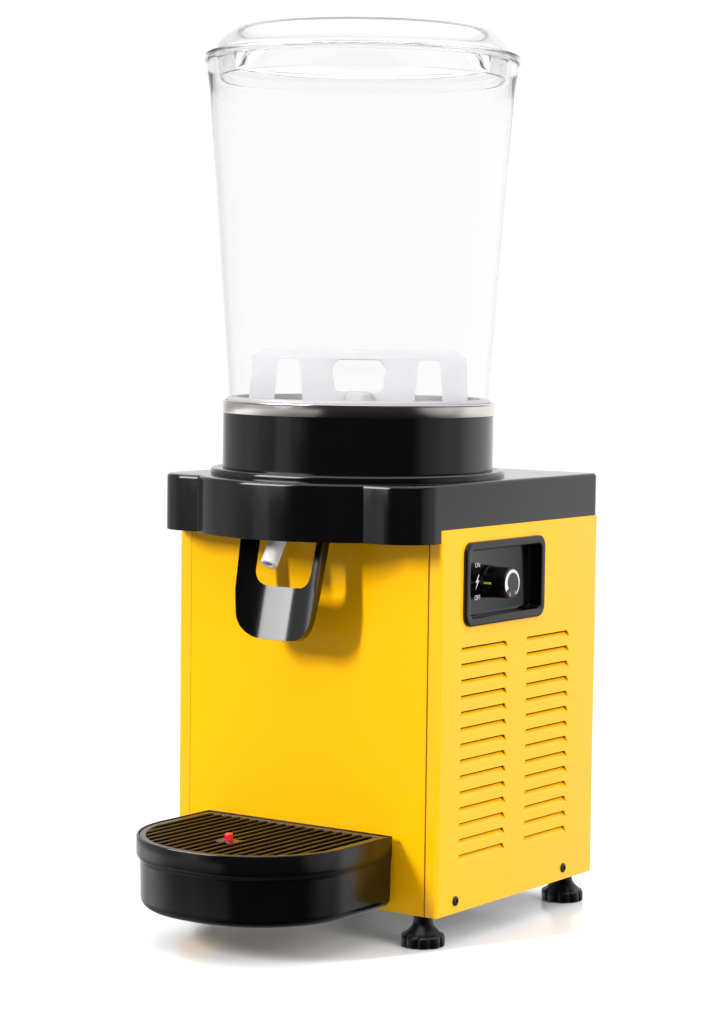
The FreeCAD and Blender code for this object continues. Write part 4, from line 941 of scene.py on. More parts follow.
class PaddleOperator(Make, bpy.types.Operator):
    """White paddle with three windows on the drive shaft"""
    bl_idname = "dispenser.paddle"
    bl_label = "Paddle"

    def execute(self, context):
        look = settings(context).paddle
        base = node_box("agitator")[0].z
        top = base + look.height
        half = look.half_width
        outline = soften([(-half, base, 0.003), (half, base, 0.003),
                          (half - 0.0015, top, 0.012), (-half + 0.0015, top, 0.012)], 8)
        head, sill, window = top - 0.008, base + 0.0085, 0.0215
        middle = soften([(-window + 0.003, sill, 0.005), (window - 0.003, sill, 0.005),
                         (window, head - 0.006, 0.005), (window - 0.005, head, 0.004),
                         (-window + 0.005, head, 0.004), (-window, head - 0.006, 0.005)], 6)
        beside = [soften([(side * 0.044, base - 0.002, 0), (side * 0.067, base - 0.002, 0),
                          (side * 0.064, head, 0.004), (side * 0.047, head, 0.004)], 6)
                  for side in (-1, 1)]
        blade = plate([outline, middle], look.thickness, 0.0009)
        blade = carved(blade, *[prism(slot, -PAST, PAST, ORIGIN) for slot in beside])
        along = Vector((math.cos(look.turn), math.sin(look.turn), 0))
        blade = moved(blade, basis(at(0, BOWL_Y, 0), along, Z, along.cross(Z)))
        bore, bore_top = 0.0042, base + 0.0066
        radius, hub_top = 0.010, base + 0.0085
        hub = turned([(bore, base), (radius - 0.0008, base), (radius, base + 0.0008),
                      (radius, hub_top - 0.002), (0.0085, hub_top - 0.0004), (0.007, hub_top),
                      (0, hub_top), (0, bore_top), (bore, bore_top)], 48, 0, BOWL_Y)
        white = milky("white paddle plastic", look.plastic, 0.38, 0.0, 0.001)
        piece("paddle", joined(blade, hub), "agitator", white, ("agitator",))
        return {"FINISHED"}


class BowlOperator(Make, bpy.types.Operator):
    """Clear bowl with its flared neck, in its soft gasket"""
    bl_idname = "dispenser.bowl"
    bl_label = "Bowl"

    def execute(self, context):
        look = settings(context).bowl
        foot, top = bowl_low.z, bowl_high.z
        wall = look.wall
        middle, neck = foot + look.middle_height, foot + look.neck_height
        outside = [(look.foot_radius - 0.0004, foot), (look.foot_radius, foot + 0.0006)]
        outside += [(look.foot_radius + (look.middle_radius - look.foot_radius) * step / 8,
                     foot + (middle - foot) * step / 8) for step in range(1, 9)]
        outside += [(look.middle_radius + 0.0040, neck - 0.016),
                    (look.neck_radius - 0.0006, neck - 0.006), (look.neck_radius, neck),
                    (look.bead_radius - 0.0006, neck + 0.0105),
                    (look.bead_radius, neck + 0.0135), (look.bead_radius, top - 0.0012)]
        outside += arc(look.bead_radius - 0.0012, top - 0.0012, 0.0012, 0, 90, 4)[1:]
        inner = look.neck_radius - wall
        inside = [(inner + 0.0012, top), (inner + 0.0002, top - 0.0010), (inner, top - 0.0022),
                  (inner - 0.0005, neck), (look.middle_radius - wall, middle),
                  (look.foot_radius - wall, foot)]
        clear = clear_plastic("clear bowl plastic", look.clear_tint)
        piece("bowl_wall", turned(outside + inside, look.sides, 0, BOWL_Y), "bowl", clear,
              ("bowl",), sharp=28)
        low, high = gasket_low.z, gasket_high.z
        outer, hole = gasket_high.x, gasket_high.x - 0.0078
        gasket = [(hole, low), (outer - 0.0004, low), (outer, low + 0.0008),
                  (outer, low + 0.0024), (outer - 0.0010, low + 0.0036),
                  (outer - 0.0004, high - 0.0014), (outer - 0.0012, high - 0.0003),
                  (look.foot_radius + 0.0004, high), (look.foot_radius, foot),
                  (look.foot_radius - wall, foot), (look.foot_radius - wall + 0.0003, high),
                  (hole, high)]
        soft = milky("clear gasket", (0.62, 0.60, 0.615), 0.30, 0.35, 0.002)
        piece("gasket_ring", turned(gasket, look.sides, 0, BOWL_Y), "bowl", soft,
              ("bowl_gasket",), sharp=50)
        return {"FINISHED"}


class LidOperator(Make, bpy.types.Operator):
    """Clear lid: a rim over the bowl's bead, a plug in its neck, a dome and a crowned top"""
    bl_idname = "dispenser.lid"
    bl_label = "Lid"

    def execute(self, context):
        look = settings(context).bowl
        outer, top, mouth = lid_high.x, lid_high.z, bowl_high.z
        skirt = mouth - 0.004
        rim = mouth + 0.0022
        ledge = rim + 0.0013
        wall, drop = look.lid_wall, look.crown
        foot, flat = look.lid_foot, look.lid_shoulder
        outside = [(outer - 0.0003, skirt), (outer, skirt + 0.0004), (outer, rim - 0.0018)]
        outside += arc(outer - 0.0018, rim - 0.0018, 0.0018, 0, 80, 5)[1:]
        outside += [(foot + 0.0022, ledge - 0.0002), (foot + 0.0006, ledge + 0.0001)]
        dome = shoulder((foot, ledge + 0.0006), (flat, top - drop), 0.0036)
        crown = [(flat * part, top - drop * part ** 2.6) for part in (
            0.985, 0.97, 0.95, 0.92, 0.88, 0.8, 0.7, 0.55, 0.4, 0.2)] + [(0, top)]
        outside += dome + crown
        inside = [(r, z - wall) for r, z in reversed(crown[1:])]
        inside += [(r - wall * 0.9, z - wall * 0.4) for r, z in reversed(dome[1:-1])]
        plug, bottom = look.plug_radius, mouth - 0.015
        inside += [(foot - wall, ledge - 0.002), (plug - wall, rim - 0.003),
                   (plug - wall, bottom + 0.0004), (plug - wall + 0.0004, bottom),
                   (plug - 0.0004, bottom), (plug, bottom + 0.0004), (plug, mouth + 0.0004),
                   (outer - wall + 0.0004, mouth + 0.0004), (outer - wall + 0.0004, skirt)]
        clear = clear_plastic("clear lid plastic", look.clear_tint)
        piece("lid_dome", turned(outside + inside, look.sides, 0, BOWL_Y), "lid", clear,
              ("lid",), sharp=28)
        return {"FINISHED"}


def shoulder(start, end, bulge, steps=12):
    """Arc from one outline point to another that bows out by a bulge."""
    a, b = Vector(start), Vector(end)
    chord = b - a
    side = Vector((chord.y, -chord.x)).normalized()
    radius = (chord.length ** 2 / 4 + bulge ** 2) / (2 * bulge)
    centre = (a + b) / 2 - side * (radius - bulge)
    begin = math.degrees(math.atan2(a.y - centre.y, a.x - centre.x))
    end_turn = math.degrees(math.atan2(b.y - centre.y, b.x - centre.x))
    return arc(centre.x, centre.y, radius, begin, end_turn, steps)


class TapOperator(Make, bpy.types.Operator):
    """Milky outlet tube, and the bracket, pin and spring that the lever hangs on"""
    bl_idname = "dispenser.tap"
    bl_label = "Tap"

    def execute(self, context):
        look = settings(context).tap
        y0 = tube_axis(look)
        top = tube_high.z
        tip = tube_tip(look)
        corner_z = tip.z + (y0 - tip.y) / math.tan(look.lean)
        upright_end = corner_z + look.bend_radius * math.tan(look.lean / 2)
        path = [(y0, top), (y0, (top + upright_end) / 2)]
        path += arc(y0 - look.bend_radius, upright_end, look.bend_radius, 0,
                    -math.degrees(look.lean), 10)
        path = [Vector((0, y, z)) for y, z in path]
        run = tip - path[-1]
        path += [path[-1] + run * step for step in (0.35, 0.7, 1.0)]
        ways = []
        for i, here in enumerate(path):
            before = here - path[i - 1] if i else path[1] - here
            after = path[i + 1] - here if i + 1 < len(path) else before
            ways.append((before.normalized() + after.normalized()).normalized())
        lip, count = 0.0006, 40
        outer, bore, mouth = look.tube_radius, look.bore_radius, look.bore_radius * look.mouth
        skin = [ring_about(here, way, outer, count) for here, way in zip(path[:-1], ways)]
        for back, radius in ((lip, outer), (lip * 0.3, outer - lip * 0.3), (0, outer - lip),
                             (0, mouth + lip), (lip * 0.3, mouth), (0.005, mouth),
                             (0.006, bore)):
            skin.append(ring_about(tip - ways[-1] * back, ways[-1], radius, count))
        skin += [ring_about(here, way, bore, count)
                 for here, way in zip(path[-2::-1], ways[-2::-1])]
        tube = lofted(skin, loop=True)
        soft = milky("milky silicone", look.silicone, 0.34, 0.0, 0.0015)
        piece("outlet_hose", tube, "cabinet", soft, ("outlet_tube",), sharp=50)
        zinc = plated("bright zinc", (0.60, 0.60, 0.59), 0.30)
        dress(zinc, "tap_bracket", "lever_pin", "lever_spring")
        return {"FINISHED"}


def tube_axis(look):
    """Depth of the outlet tube's upright run, behind the front panel's face."""
    return tube_high.y - look.tube_radius


def tube_tip(look):
    """Middle of the outlet tube's mouth."""
    return Vector((0, tube_low.y + look.tube_radius * math.cos(look.lean),
                   tube_low.z + look.tube_radius * math.sin(look.lean)))


def ring_about(here, ahead, radius, count):
    """Ring of points round a path that stays in the middle plane."""
    up = ahead.cross(X).normalized()
    return [HOME + here + X * (radius * math.cos(math.tau * i / count))
            + up * (radius * math.sin(math.tau * i / count)) for i in range(count)]


class LeverOperator(Make, bpy.types.Operator):
    """Black push lever: hollow in front, with a round-cornered window for the tube"""
    bl_idname = "dispenser.lever"
    bl_label = "Push lever"

    def execute(self, context):
        look = settings(context).tap
        joint = [j for j in frame["joints"] if j["name"] == "lever_push"][0]
        pin = Vector(joint["pos_m"]) - HOME
        up = Vector((0, math.sin(look.tilt), math.cos(look.tilt)))
        out = Vector((0, -math.cos(look.tilt), math.sin(look.tilt)))
        panel_top = side_high.z
        ref_z = panel_top - 0.011

        def edge_y(z):
            """Depth of the front face at the lever's side edges."""
            return -look.reach - (ref_z - z) * math.tan(look.tilt)

        def hollow(x):
            """How far the front face lies behind its side edges."""
            return (math.sqrt(look.curve ** 2 - x ** 2)
                    - math.sqrt(look.curve ** 2 - look.half_width ** 2))

        pivot = at(0, edge_y(pin.z), pin.z)
        ref, waist, sill, foot = [(z - pin.z) / math.cos(look.tilt) for z in (
            ref_z, panel_top - look.waist_drop, panel_top - look.sill_drop,
            panel_top - look.foot_drop)]
        right = [(look.foot_half, foot, look.foot_corner),
                 (look.waist_half, waist, look.waist_corner),
                 (look.half_width, ref, look.top_corner), (look.half_width, look.hub, 0.004)]
        outline = soften([(-x, y, r) for x, y, r in reversed(right)] + right, 18)
        gap = look.half_width - look.leg
        low_gap, head = gap - look.window_taper, look.hub + 0.005
        window = soften([(-gap, head, 0), (-low_gap, sill, look.sill_corner),
                         (low_gap, sill, look.sill_corner), (gap, head, 0)], 16)
        relief = [(out_by, 1 + max(0, -out_by - hollow(gap)) * 0.7 / gap)
                  for out_by in (0.03, -hollow(gap), -0.04)]
        frame_of = basis(pivot, X, up, out)
        sheet = moved(prism(outline, -0.05, 0.05, ORIGIN), frame_of)
        hole = moved(lofted([[Vector((x * wide, y, out_by)) for x, y in window]
                             for out_by, wide in relief]), frame_of)
        span = math.degrees(math.asin(look.half_width * 1.12 / look.curve))
        section = arc(0, look.curve - hollow(0), look.curve, -90 - span, -90 + span, 64)
        section += arc(0, look.curve - hollow(0), look.curve + look.wall, -90 + span,
                       -90 - span, 64)
        trough = moved(prism(section, -0.15, 0.05, ORIGIN), basis(pivot, X, out, up))
        shell = carved(carved(trough, sheet, operation="INTERSECT"), hole)
        gloss = moulded("black lever plastic", settings(context).cabinet.black, 0.12, 0.000002,
                        500.0)
        piece("lever_plate", shell, "lever", gloss, ("lever",),
              ease=look.edge, sharp=30, steps=3)
        bore, soft = 0.00255, 0.0003
        outline = [(bore, 0), (look.hub - soft, 0), (look.hub, soft),
                   (look.hub, look.leg - soft), (look.hub - soft, look.leg), (bore, look.leg)]
        hubs = [turned(outline, 40, axis_x=Y, axis_y=Z, axis_z=X * side,
                       origin=at(side * gap, pin.y, pin.z)) for side in (-1, 1)]
        piece("lever_hubs", joined(*hubs), "lever", gloss)
        low, high = panel_top - 0.005, panel_top + 0.001
        tip = tube_tip(look)
        thick, soft, half_arm, play = 0.004, 0.0008, 0.003, 0.0003
        bar_y = (tip.y + (high - tip.z) * math.tan(look.lean)
                 + look.tube_radius / math.cos(look.lean) + play)
        plate_y = edge_y(low) + hollow(gap) + look.wall / 2
        bar = prism(soften([(bar_y, low, soft), (bar_y + thick, low, soft),
                            (bar_y + thick, high, soft), (bar_y, high, soft)], 3),
                    -gap - half_arm, gap + half_arm, HOME, Y, Z, X)
        near, far = min(bar_y, plate_y), max(bar_y + thick, plate_y)
        arms = [prism([(near, low), (far, low), (far, high), (near, high)], middle - half_arm,
                      middle + half_arm, HOME, Y, Z, X) for middle in (-gap, gap)]
        piece("lever_yoke", joined(bar, *arms), "lever", gloss)
        return {"FINISHED"}


def tray_plan(look, side_inset, front_inset, back_inset, z):
    """Ring round the tray in plan, the same number of points for every inset."""
    half = (tray_high.x - tray_low.x) / 2 - side_inset
    front = tray_low.y + front_inset
    back = tray_high.y - back_inset
    radius = look.corner - (side_inset + front_inset) / 2
    radius = min(radius, half - 0.002, back - front - 0.002)
    right = arc(half - radius, front + radius, radius, 0, -90, 40)
    ring = [(half, back), (half, (back + front + radius) / 2)] + right
    ring += [(0, front)] + [(-x, y) for x, y in reversed(ring)]
    return [at(x, y, z) for x, y in ring]


class TrayOperator(Make, bpy.types.Operator):
    """Drip tray with its rim band and soft lower edge, on its hanger"""
    bl_idname = "dispenser.tray"
    bl_label = "Drip tray"

    def execute(self, context):
        look = settings(context).tray
        low, top = tray_low.z, tray_high.z
        band, ledge = top - look.band, top - 0.0036
        wall, lap = look.wall, look.wall + 0.0034
        outer = [(0.0012, 0.0012, 0.0012, top), (0.0006, 0.0006, 0.0004, top - 0.00005),
                 (0.00015, 0.00015, 0.0001, top - 0.0004), (0, 0, 0, top - 0.0010)]
        for step in range(9):
            share_in = (1 - math.cos(math.pi * step / 8)) / 2
            outer.append((look.side_step * share_in, look.step * share_in, 0,
                          band - look.cove * step / 8))
        for step in range(9):
            turn = math.pi / 2 * step / 8
            inward = look.bottom_edge * (1 - math.cos(turn))
            outer.append((look.side_step + look.taper + inward, look.step + look.taper + inward,
                          inward * 0.3, low + look.bottom_edge * (1 - math.sin(turn))))
        deep = look.bottom_edge + look.taper
        inner = [(look.side_step + deep, look.step + deep, wall + 0.001, low + wall),
                 (look.side_step + deep - 0.0016, look.step + deep - 0.0016, wall + 0.001,
                  low + wall + 0.003),
                 (look.side_step + wall, look.step + wall, wall, band),
                 (look.side_step + wall, look.step + wall, wall, ledge - 0.002),
                 (lap, look.step + lap, lap, ledge - 0.002), (lap, look.step + lap, lap, ledge),
                 (wall * 0.6, wall * 0.6, wall * 0.6, ledge),
                 (wall * 0.6, wall * 0.6, wall * 0.6, top - 0.0004)]
        rings = [tray_plan(look, s, f, b, z) for s, f, b, z in outer]
        rings_in = [tray_plan(look, s, f, b, z) for s, f, b, z in inner]
        skin = joined(lofted(rings, first_cap=False), lofted(rings_in, last_cap=False))
        count = len(rings[0])
        start_in = len(rings) * count + (len(rings_in) - 1) * count
        lip = [(i, (i + 1) % count, start_in + (i + 1) % count, start_in + i)
               for i in range(count)]
        shape = (skin[0], skin[1] + lip)
        half_slot, slot_low, slot_high = 0.0084, 0.0396, 0.0429
        shape = carved(shape, *[block(mid - half_slot, mid + half_slot, -2 * PAST, PAST, slot_low,
                                      slot_high) for mid in (-look.tongues, look.tongues)])
        satin = moulded("black tray plastic", settings(context).cabinet.black, 0.15, 0.00001,
                        1300.0)
        piece("tray_shell", shape, "tray", satin, ("drip_tray",), sharp=40)
        dress(plated("zinc hanger", (0.58, 0.58, 0.57), 0.32), "tray_hanger")
        return {"FINISHED"}


class GrilleOperator(Make, bpy.types.Operator):
    """Lift-out grille of slats, with the guide ring of the float"""
    bl_idname = "dispenser.grille"
    bl_label = "Grille"

    def execute(self, context):
        look = settings(context).tray
        low, high = node_box("tray_grille")
        z0, z1 = low.z, high.z
        half = (high.x - low.x) / 2
        front, back = low.y, high.y
        radius = look.corner - 0.0022
        outer = arc(half - radius, front + radius, radius, 0, -90, 40)
        outer = [(half, back)] + outer + [(-x, y) for x, y in reversed(outer)] + [(-half, back)]
        rim, rear_rim, bore, boss = 0.005, 0.006, 0.00355, 0.00595
        hole_half, hole_radius = half - rim, radius - rim
        hole_front, hole_back = front + rim, back - rear_rim
        centre_x, centre_y = hole_half - hole_radius, hole_front + hole_radius
        float_low, float_high = node_box("level_float")
        float_y = (float_low.y + float_high.y) / 2
        holes = []

        def edge_y(x):
            """Where the gaps end in front, behind the grille's rounded rim."""
            over = abs(x) - centre_x
            if over <= 0:
                return hole_front
            return centre_y - math.sqrt(max(hole_radius ** 2 - over ** 2, 0.0))

        gap = look.slat_pitch - look.slat_width
        for i in range(look.gaps):
            x0 = (i - look.gaps / 2) * look.slat_pitch + look.slat_width / 2
            x1 = x0 + gap
            x0, x1 = max(x0, -hole_half + 0.0002), min(x1, hole_half - 0.0002)
            if x1 - x0 < 0.002:
                continue
            front_edge = [(x0 + (x1 - x0) * s / 6, edge_y(x0 + (x1 - x0) * s / 6) + 0.0002)
                          for s in range(7)]
            mid, round_end = (x0 + x1) / 2, (x1 - x0) / 2
            cap = arc(mid, hole_back - round_end, round_end, 0, 180, 8)
            if abs(mid) < boss + gap / 2:
                nearest = min(abs(x0), abs(x1)) if x0 * x1 > 0 else 0
                reach = math.sqrt(max(boss ** 2 - nearest ** 2, 0))
                stop, go = float_y - reach, float_y + reach
                holes.append(front_edge + [(x1, stop - 0.001), (x1 - 0.001, stop),
                                           (x0 + 0.001, stop), (x0, stop - 0.001)])
                holes.append([(x0 + 0.001, go), (x1 - 0.001, go), (x1, go + 0.001)] + cap
                             + [(x0, go + 0.001)])
            else:
                holes.append(front_edge + cap)
        flat = plate([outer] + holes, z1 - z0, look.slat_edge)
        flat = moved(flat, Matrix.Translation(at(0, 0, (z0 + z1) / 2)))
        soft = 0.0003
        ring = turned([(bore, z0), (boss, z0), (boss, z1 - soft), (boss - soft, z1),
                       (bore + soft, z1), (bore, z1 - soft)], 40, 0, float_y)
        flat = carved(flat, rod(boss - 0.0005, z0 - PAST, z1 + PAST, 40, float_y))
        satin = moulded("black grille plastic", settings(context).cabinet.black, 0.28, 0.00001,
                        1300.0)
        piece("grille_plate", joined(flat, ring), "grille", satin,
              ("tray_grille",), sharp=35)
        return {"FINISHED"}


class FloatOperator(Make, bpy.types.Operator):
    """Red level float with a round head on its stem"""
    bl_idname = "dispenser.level_float"
    bl_label = "Level float"

    def execute(self, context):
        look = settings(context).tray
        low, high = node_box("level_float")
        z0, z1 = low.z, high.z
        y = (low.y + high.y) / 2
        wide, stem, dome = 0.012, 0.0032, 0.0013
        outline = [(0, z0), (wide - 0.0008, z0), (wide - 0.0002, z0 + 0.0002),
                   (wide, z0 + 0.0008), (wide, z0 + 0.0082), (wide - 0.0002, z0 + 0.0088),
                   (wide - 0.0008, z0 + 0.009), (wide / 2, z0 + 0.0098), (stem, z0 + 0.011),
                   (stem, z1 - dome)]
        outline += arc(stem - dome, z1 - dome, dome, 0, 90, 6)[1:]
        outline += [(0, z1)]
        red = moulded("red float plastic", look.red, 0.22, 0.000005, 900.0, 0.3)
        piece("float_body", turned(outline, 48, 0, y), "float", red,
              ("level_float",))
        return {"FINISHED"}


def bezel_ring(look, inset, x):
    """Rounded rectangle on the right side panel, inset from the bezel's outline."""
    low, high = node_box("control_bezel")
    y0, y1 = low.y + inset, high.y - inset
    z0, z1 = low.z + inset, high.z - inset
    radius = max(look.corner - inset * 0.75, 0.0015)
    return [at(x, y, z) for y, z in soften([(y0, z0, radius), (y1, z0, radius),
                                            (y1, z1, radius), (y0, z1, radius)], 8)]


class ControlOperator(Make, bpy.types.Operator):
    """Black bezel with its recess, the ON and OFF marks and the bolt sign"""
    bl_idname = "dispenser.control"
    bl_label = "Control panel"

    def execute(self, context):
        look = settings(context).control
        face, panel = node_box("control_bezel")[1].x, side_high.x
        rim, floor = look.rim, face - look.recess
        lap = BEZEL_LAP + 0.0003
        rings = [bezel_ring(look, inset, x) for inset, x in (
            (lap, floor - 0.002), (lap, panel), (0.0, panel), (0.0, face - 0.0012),
            (0.0003, face - 0.0005), (0.0009, face - 0.0001), (0.0014, face),
            (rim - 0.0012, face), (rim - 0.0005, face - 0.0002), (rim, face - 0.0008),
            (rim + 0.0004, floor + 0.0012), (rim + 0.0008, floor + 0.0003),
            (rim + 0.0016, floor))]
        gloss = moulded("black bezel plastic", settings(context).cabinet.black, 0.14, 0.000006,
                        700.0)
        piece("bezel_shell", lofted(rings), "cabinet", gloss,
              ("control_bezel",), sharp=28)
        white = printed("white ink", look.mark_white)
        narrow = 0.86
        for text, name, y, z in (("ON", "mark_on", 0.0628, 0.2635),
                                 ("OFF", "mark_off", 0.0632, 0.2383)):
            letters = moved(lettering(text, look.mark_height),
                            basis(at(floor + 0.00006, y, z), Y * narrow, Z, X))
            piece(name, letters, "cabinet", white)
        bolt = [(0.0646, 0.2562), (0.0604, 0.2500), (0.0631, 0.2507), (0.0604, 0.2448),
                (0.0659, 0.2520), (0.0632, 0.2514), (0.0656, 0.2562)]
        piece("mark_bolt", prism(bolt, floor, floor + 0.0001, HOME, Y, Z, X), "cabinet", white)
        dress(lacquer("thermostat housing", (0.05, 0.05, 0.055), 0.5), "thermostat")
        return {"FINISHED"}


class DialOperator(Make, bpy.types.Operator):
    """Black dial with a printed grey face, its wedge ring, figures and pointer"""
    bl_idname = "dispenser.dial"
    bl_label = "Dial"

    def execute(self, context):
        look = settings(context).control
        low, high = node_box("dial")
        x0, x1 = low.x, high.x
        y, z = (low.y + high.y) / 2, (low.z + high.z) / 2
        radius = (high.y - low.y) / 2
        tall = x1 - x0
        start = at(x0, y, z)
        outline = [(0, 0), (radius - 0.0004, 0), (radius, 0.0004), (radius, 0.0028),
                   (radius - 0.0004, 0.0032), (radius - 0.0006, tall - 0.0012)]
        outline += arc(radius - 0.0018, tall - 0.0012, 0.0012, 0, 90, 5)
        outline += [(0.0112, tall), (0.0112, tall - 0.0006), (0, tall - 0.0006)]
        satin = moulded("black dial plastic", settings(context).cabinet.black, 0.34, 0.000015,
                        1500.0)
        body = turned(outline, 72, axis_x=Y, axis_y=Z, axis_z=X, origin=start)
        piece("dial_knob", body, "dial", satin, ("dial",))
        grey = printed("grey dial print", look.dial_grey)
        cap = [(0, tall - 0.0006), (0.01115, tall - 0.0006), (0.01115, tall - 0.0003),
               (0.0110, tall - 0.0002), (0, tall - 0.0002)]
        piece("dial_face", turned(cap, 64, axis_x=Y, axis_y=Z, axis_z=X, origin=start),
              "dial", grey, ("dial_cap",))
        silver = printed("silver ring print", (0.70, 0.70, 0.72))
        outer_ring, inner_ring = [], []
        steps, first, sweep = 60, -146, -271
        for i in range(steps + 1):
            turn = math.radians(first + sweep * i / steps)
            inner = look.dial_ring - look.ring_wide + (
                look.ring_wide - look.ring_narrow) * (i / steps) ** 0.7
            outer_ring.append((look.dial_ring * math.cos(turn), look.dial_ring * math.sin(turn)))
            inner_ring.append((inner * math.cos(turn), inner * math.sin(turn)))
        band = outer_ring + inner_ring[::-1]
        count = len(band)
        points = [at(x1 - sunk, y + p, z + q) for sunk in (0.0002, 0.00008) for p, q in band]
        faces = [(i, (i + 1) % count, count + (i + 1) % count, count + i) for i in range(count)]
        for i in range(steps):
            for shift in (0, count):
                faces.append((shift + i, shift + i + 1, shift + count - 2 - i,
                              shift + count - 1 - i))
        piece("dial_ring", (points, faces), "dial", silver)
        for text, name, dy, dz in (("5", "figure_five", -0.0030, -0.0086),
                                   ("1", "figure_one", 0.0042, -0.0076)):
            letters = moved(lettering(text, look.figure_height),
                            basis(at(x1 - 0.00014, y + dy, z + dz), Y, Z, X))
            piece(name, letters, "dial", silver)
        yellow = printed("yellow pointer ink", look.mark_yellow)
        half_wide = math.radians(3.2)
        corners = [(-0.0006, 1), (-0.0006, -1), (0.00012, -1), (0.00012, 1)]
        rings = [[start + X * x_on + Y * ((radius + lift) * math.cos(math.pi + side * half_wide))
                  + Z * ((radius + lift) * math.sin(math.pi + side * half_wide))
                  for lift, side in corners] for x_on in (0.0038, 0.0099)]
        piece("pointer", lofted(rings), "dial", yellow)
        dress(plated("plated dial shaft", (0.6, 0.6, 0.58), 0.3), "dial_shaft")
        return {"FINISHED"}


class FeetOperator(Make, bpy.types.Operator):
    """Four lobed screw feet"""
    bl_idname = "dispenser.feet"
    bl_label = "Feet"

    def execute(self, context):
        look = settings(context).foot
        dark = tinted(settings(context).cabinet.black, 0.9)
        satin = moulded("black foot plastic", dark, 0.36, 0.00002, 1500.0)
        zinc = plated("zinc stud", (0.58, 0.58, 0.56), 0.32)
        for side in ("front_left", "front_right", "rear_left", "rear_right"):
            node = "foot_" + side
            low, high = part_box(node)
            centre = Vector(((low.x + high.x) / 2, (low.y + high.y) / 2, low.z))
            wide, neck, knob = look.radius, look.neck, look.knob
            profile = [(wide - 0.0026, 0.0, 0.4), (wide - 0.0009, 0.0003, 0.8),
                       (wide, 0.0013, 1.0), (wide, knob - 0.0022, 1.0),
                       (wide - 0.0006, knob - 0.0009, 0.95), (wide - 0.0020, knob - 0.0001, 0.7),
                       (wide - 0.0042, knob + 0.0011, 0.3), (neck + 0.0044, knob + 0.0026, 0.05),
                       (neck + 0.0022, knob + 0.0046, 0), (neck + 0.0008, knob + 0.0072, 0),
                       (neck + 0.0001, knob + 0.0100, 0), (neck, high.z - low.z, 0)]
            rings = []
            for radius, z, lobed in profile:
                ring = []
                for turn in (math.tau * i / 120 for i in range(120)):
                    groove = 1 - math.sqrt(abs(math.sin(look.lobes * turn / 2)))
                    out = radius - look.groove * lobed * groove
                    ring.append(centre + Vector((out * math.cos(turn), out * math.sin(turn), z)))
                rings.append(ring)
            piece("knob_" + side, lofted(rings), node, satin, (node,), sharp=60)
            dress(zinc, "foot_stud_" + side)
        return {"FINISHED"}


class WorksOperator(Make, bpy.types.Operator):
    """Finishes of the drive and the refrigeration inside the cabinet"""
    bl_idname = "dispenser.works"
    bl_label = "Inside works"

    def execute(self, context):
        zinc = plated("zinc plated sheet", (0.60, 0.60, 0.59), 0.34)
        dress(zinc, "base_pan", "foot_nuts", "motor_plate", "motor_screws", "compressor_plate",
              "condenser_feet", "fan_shroud")
        dress(brushed("ground steel shaft", (0.62, 0.61, 0.60), 0.22, (40.0, 40.0, 1800.0)),
              "drive_shaft", "fan_shaft")
        dress(moulded("black moulded fittings", (0.014, 0.014, 0.015), 0.38), "cord_gland",
              "fan_blades")
        dress(lacquer("grey motor lacquer", (0.10, 0.10, 0.11), 0.42), "agitator_motor",
              "fan_motor")
        dress(moulded("black rubber", (0.012, 0.012, 0.012), 0.62, 0.00004, 600.0), "shaft_seal",
              "compressor_grommets")
        dress(foamed("cream foam", (0.78, 0.70, 0.45)), "foam_ring")
        dress(brushed("drawn copper", (0.78, 0.38, 0.22), 0.26, (300.0, 300.0, 300.0)),
              "evaporator_coil", "filter_drier")
        dress(lacquer("black pot lacquer", (0.012, 0.012, 0.012), 0.30), "compressor")
        dress(brushed("aluminium fins", (0.66, 0.67, 0.68), 0.34, (20.0, 20.0, 900.0)),
              "condenser")
        return {"FINISHED"}


class StageOperator(Make, bpy.types.Operator):
    """Pale floor, white backdrop, soft lights and the camera"""
    bl_idname = "dispenser.stage"
    bl_label = "Stage"

    def execute(self, context):
        look = settings(context).stage
        lay_floor(look)
        light_room(look)
        hang_lamps(look)
        set_camera()
        context.scene.view_settings.view_transform = "Standard"
        return {"FINISHED"}


def lay_floor(look):
    """Round pale floor that ends where the lamps' light does, before the white backdrop."""
    rim = arc(0, 0, look.floor_reach, 0, 360, 96)[:-1]
    floor = placed("floor", mesh_of(prism(rim, -0.02, 0.0, ORIGIN)))
    finish = Finish("pale floor")
    tone = look.floor_tone
    base = finish.blend(finish.noise(3.0, 2.0), (tone, tone, tone * 1.005), (tone * 1.01,) * 3)
    floor.data.materials.append(finish.surface(
        Base_Color=base, Roughness=0.16, Specular_IOR_Level=0.12))
    floor.visible_diffuse = False
    floor.visible_glossy = False


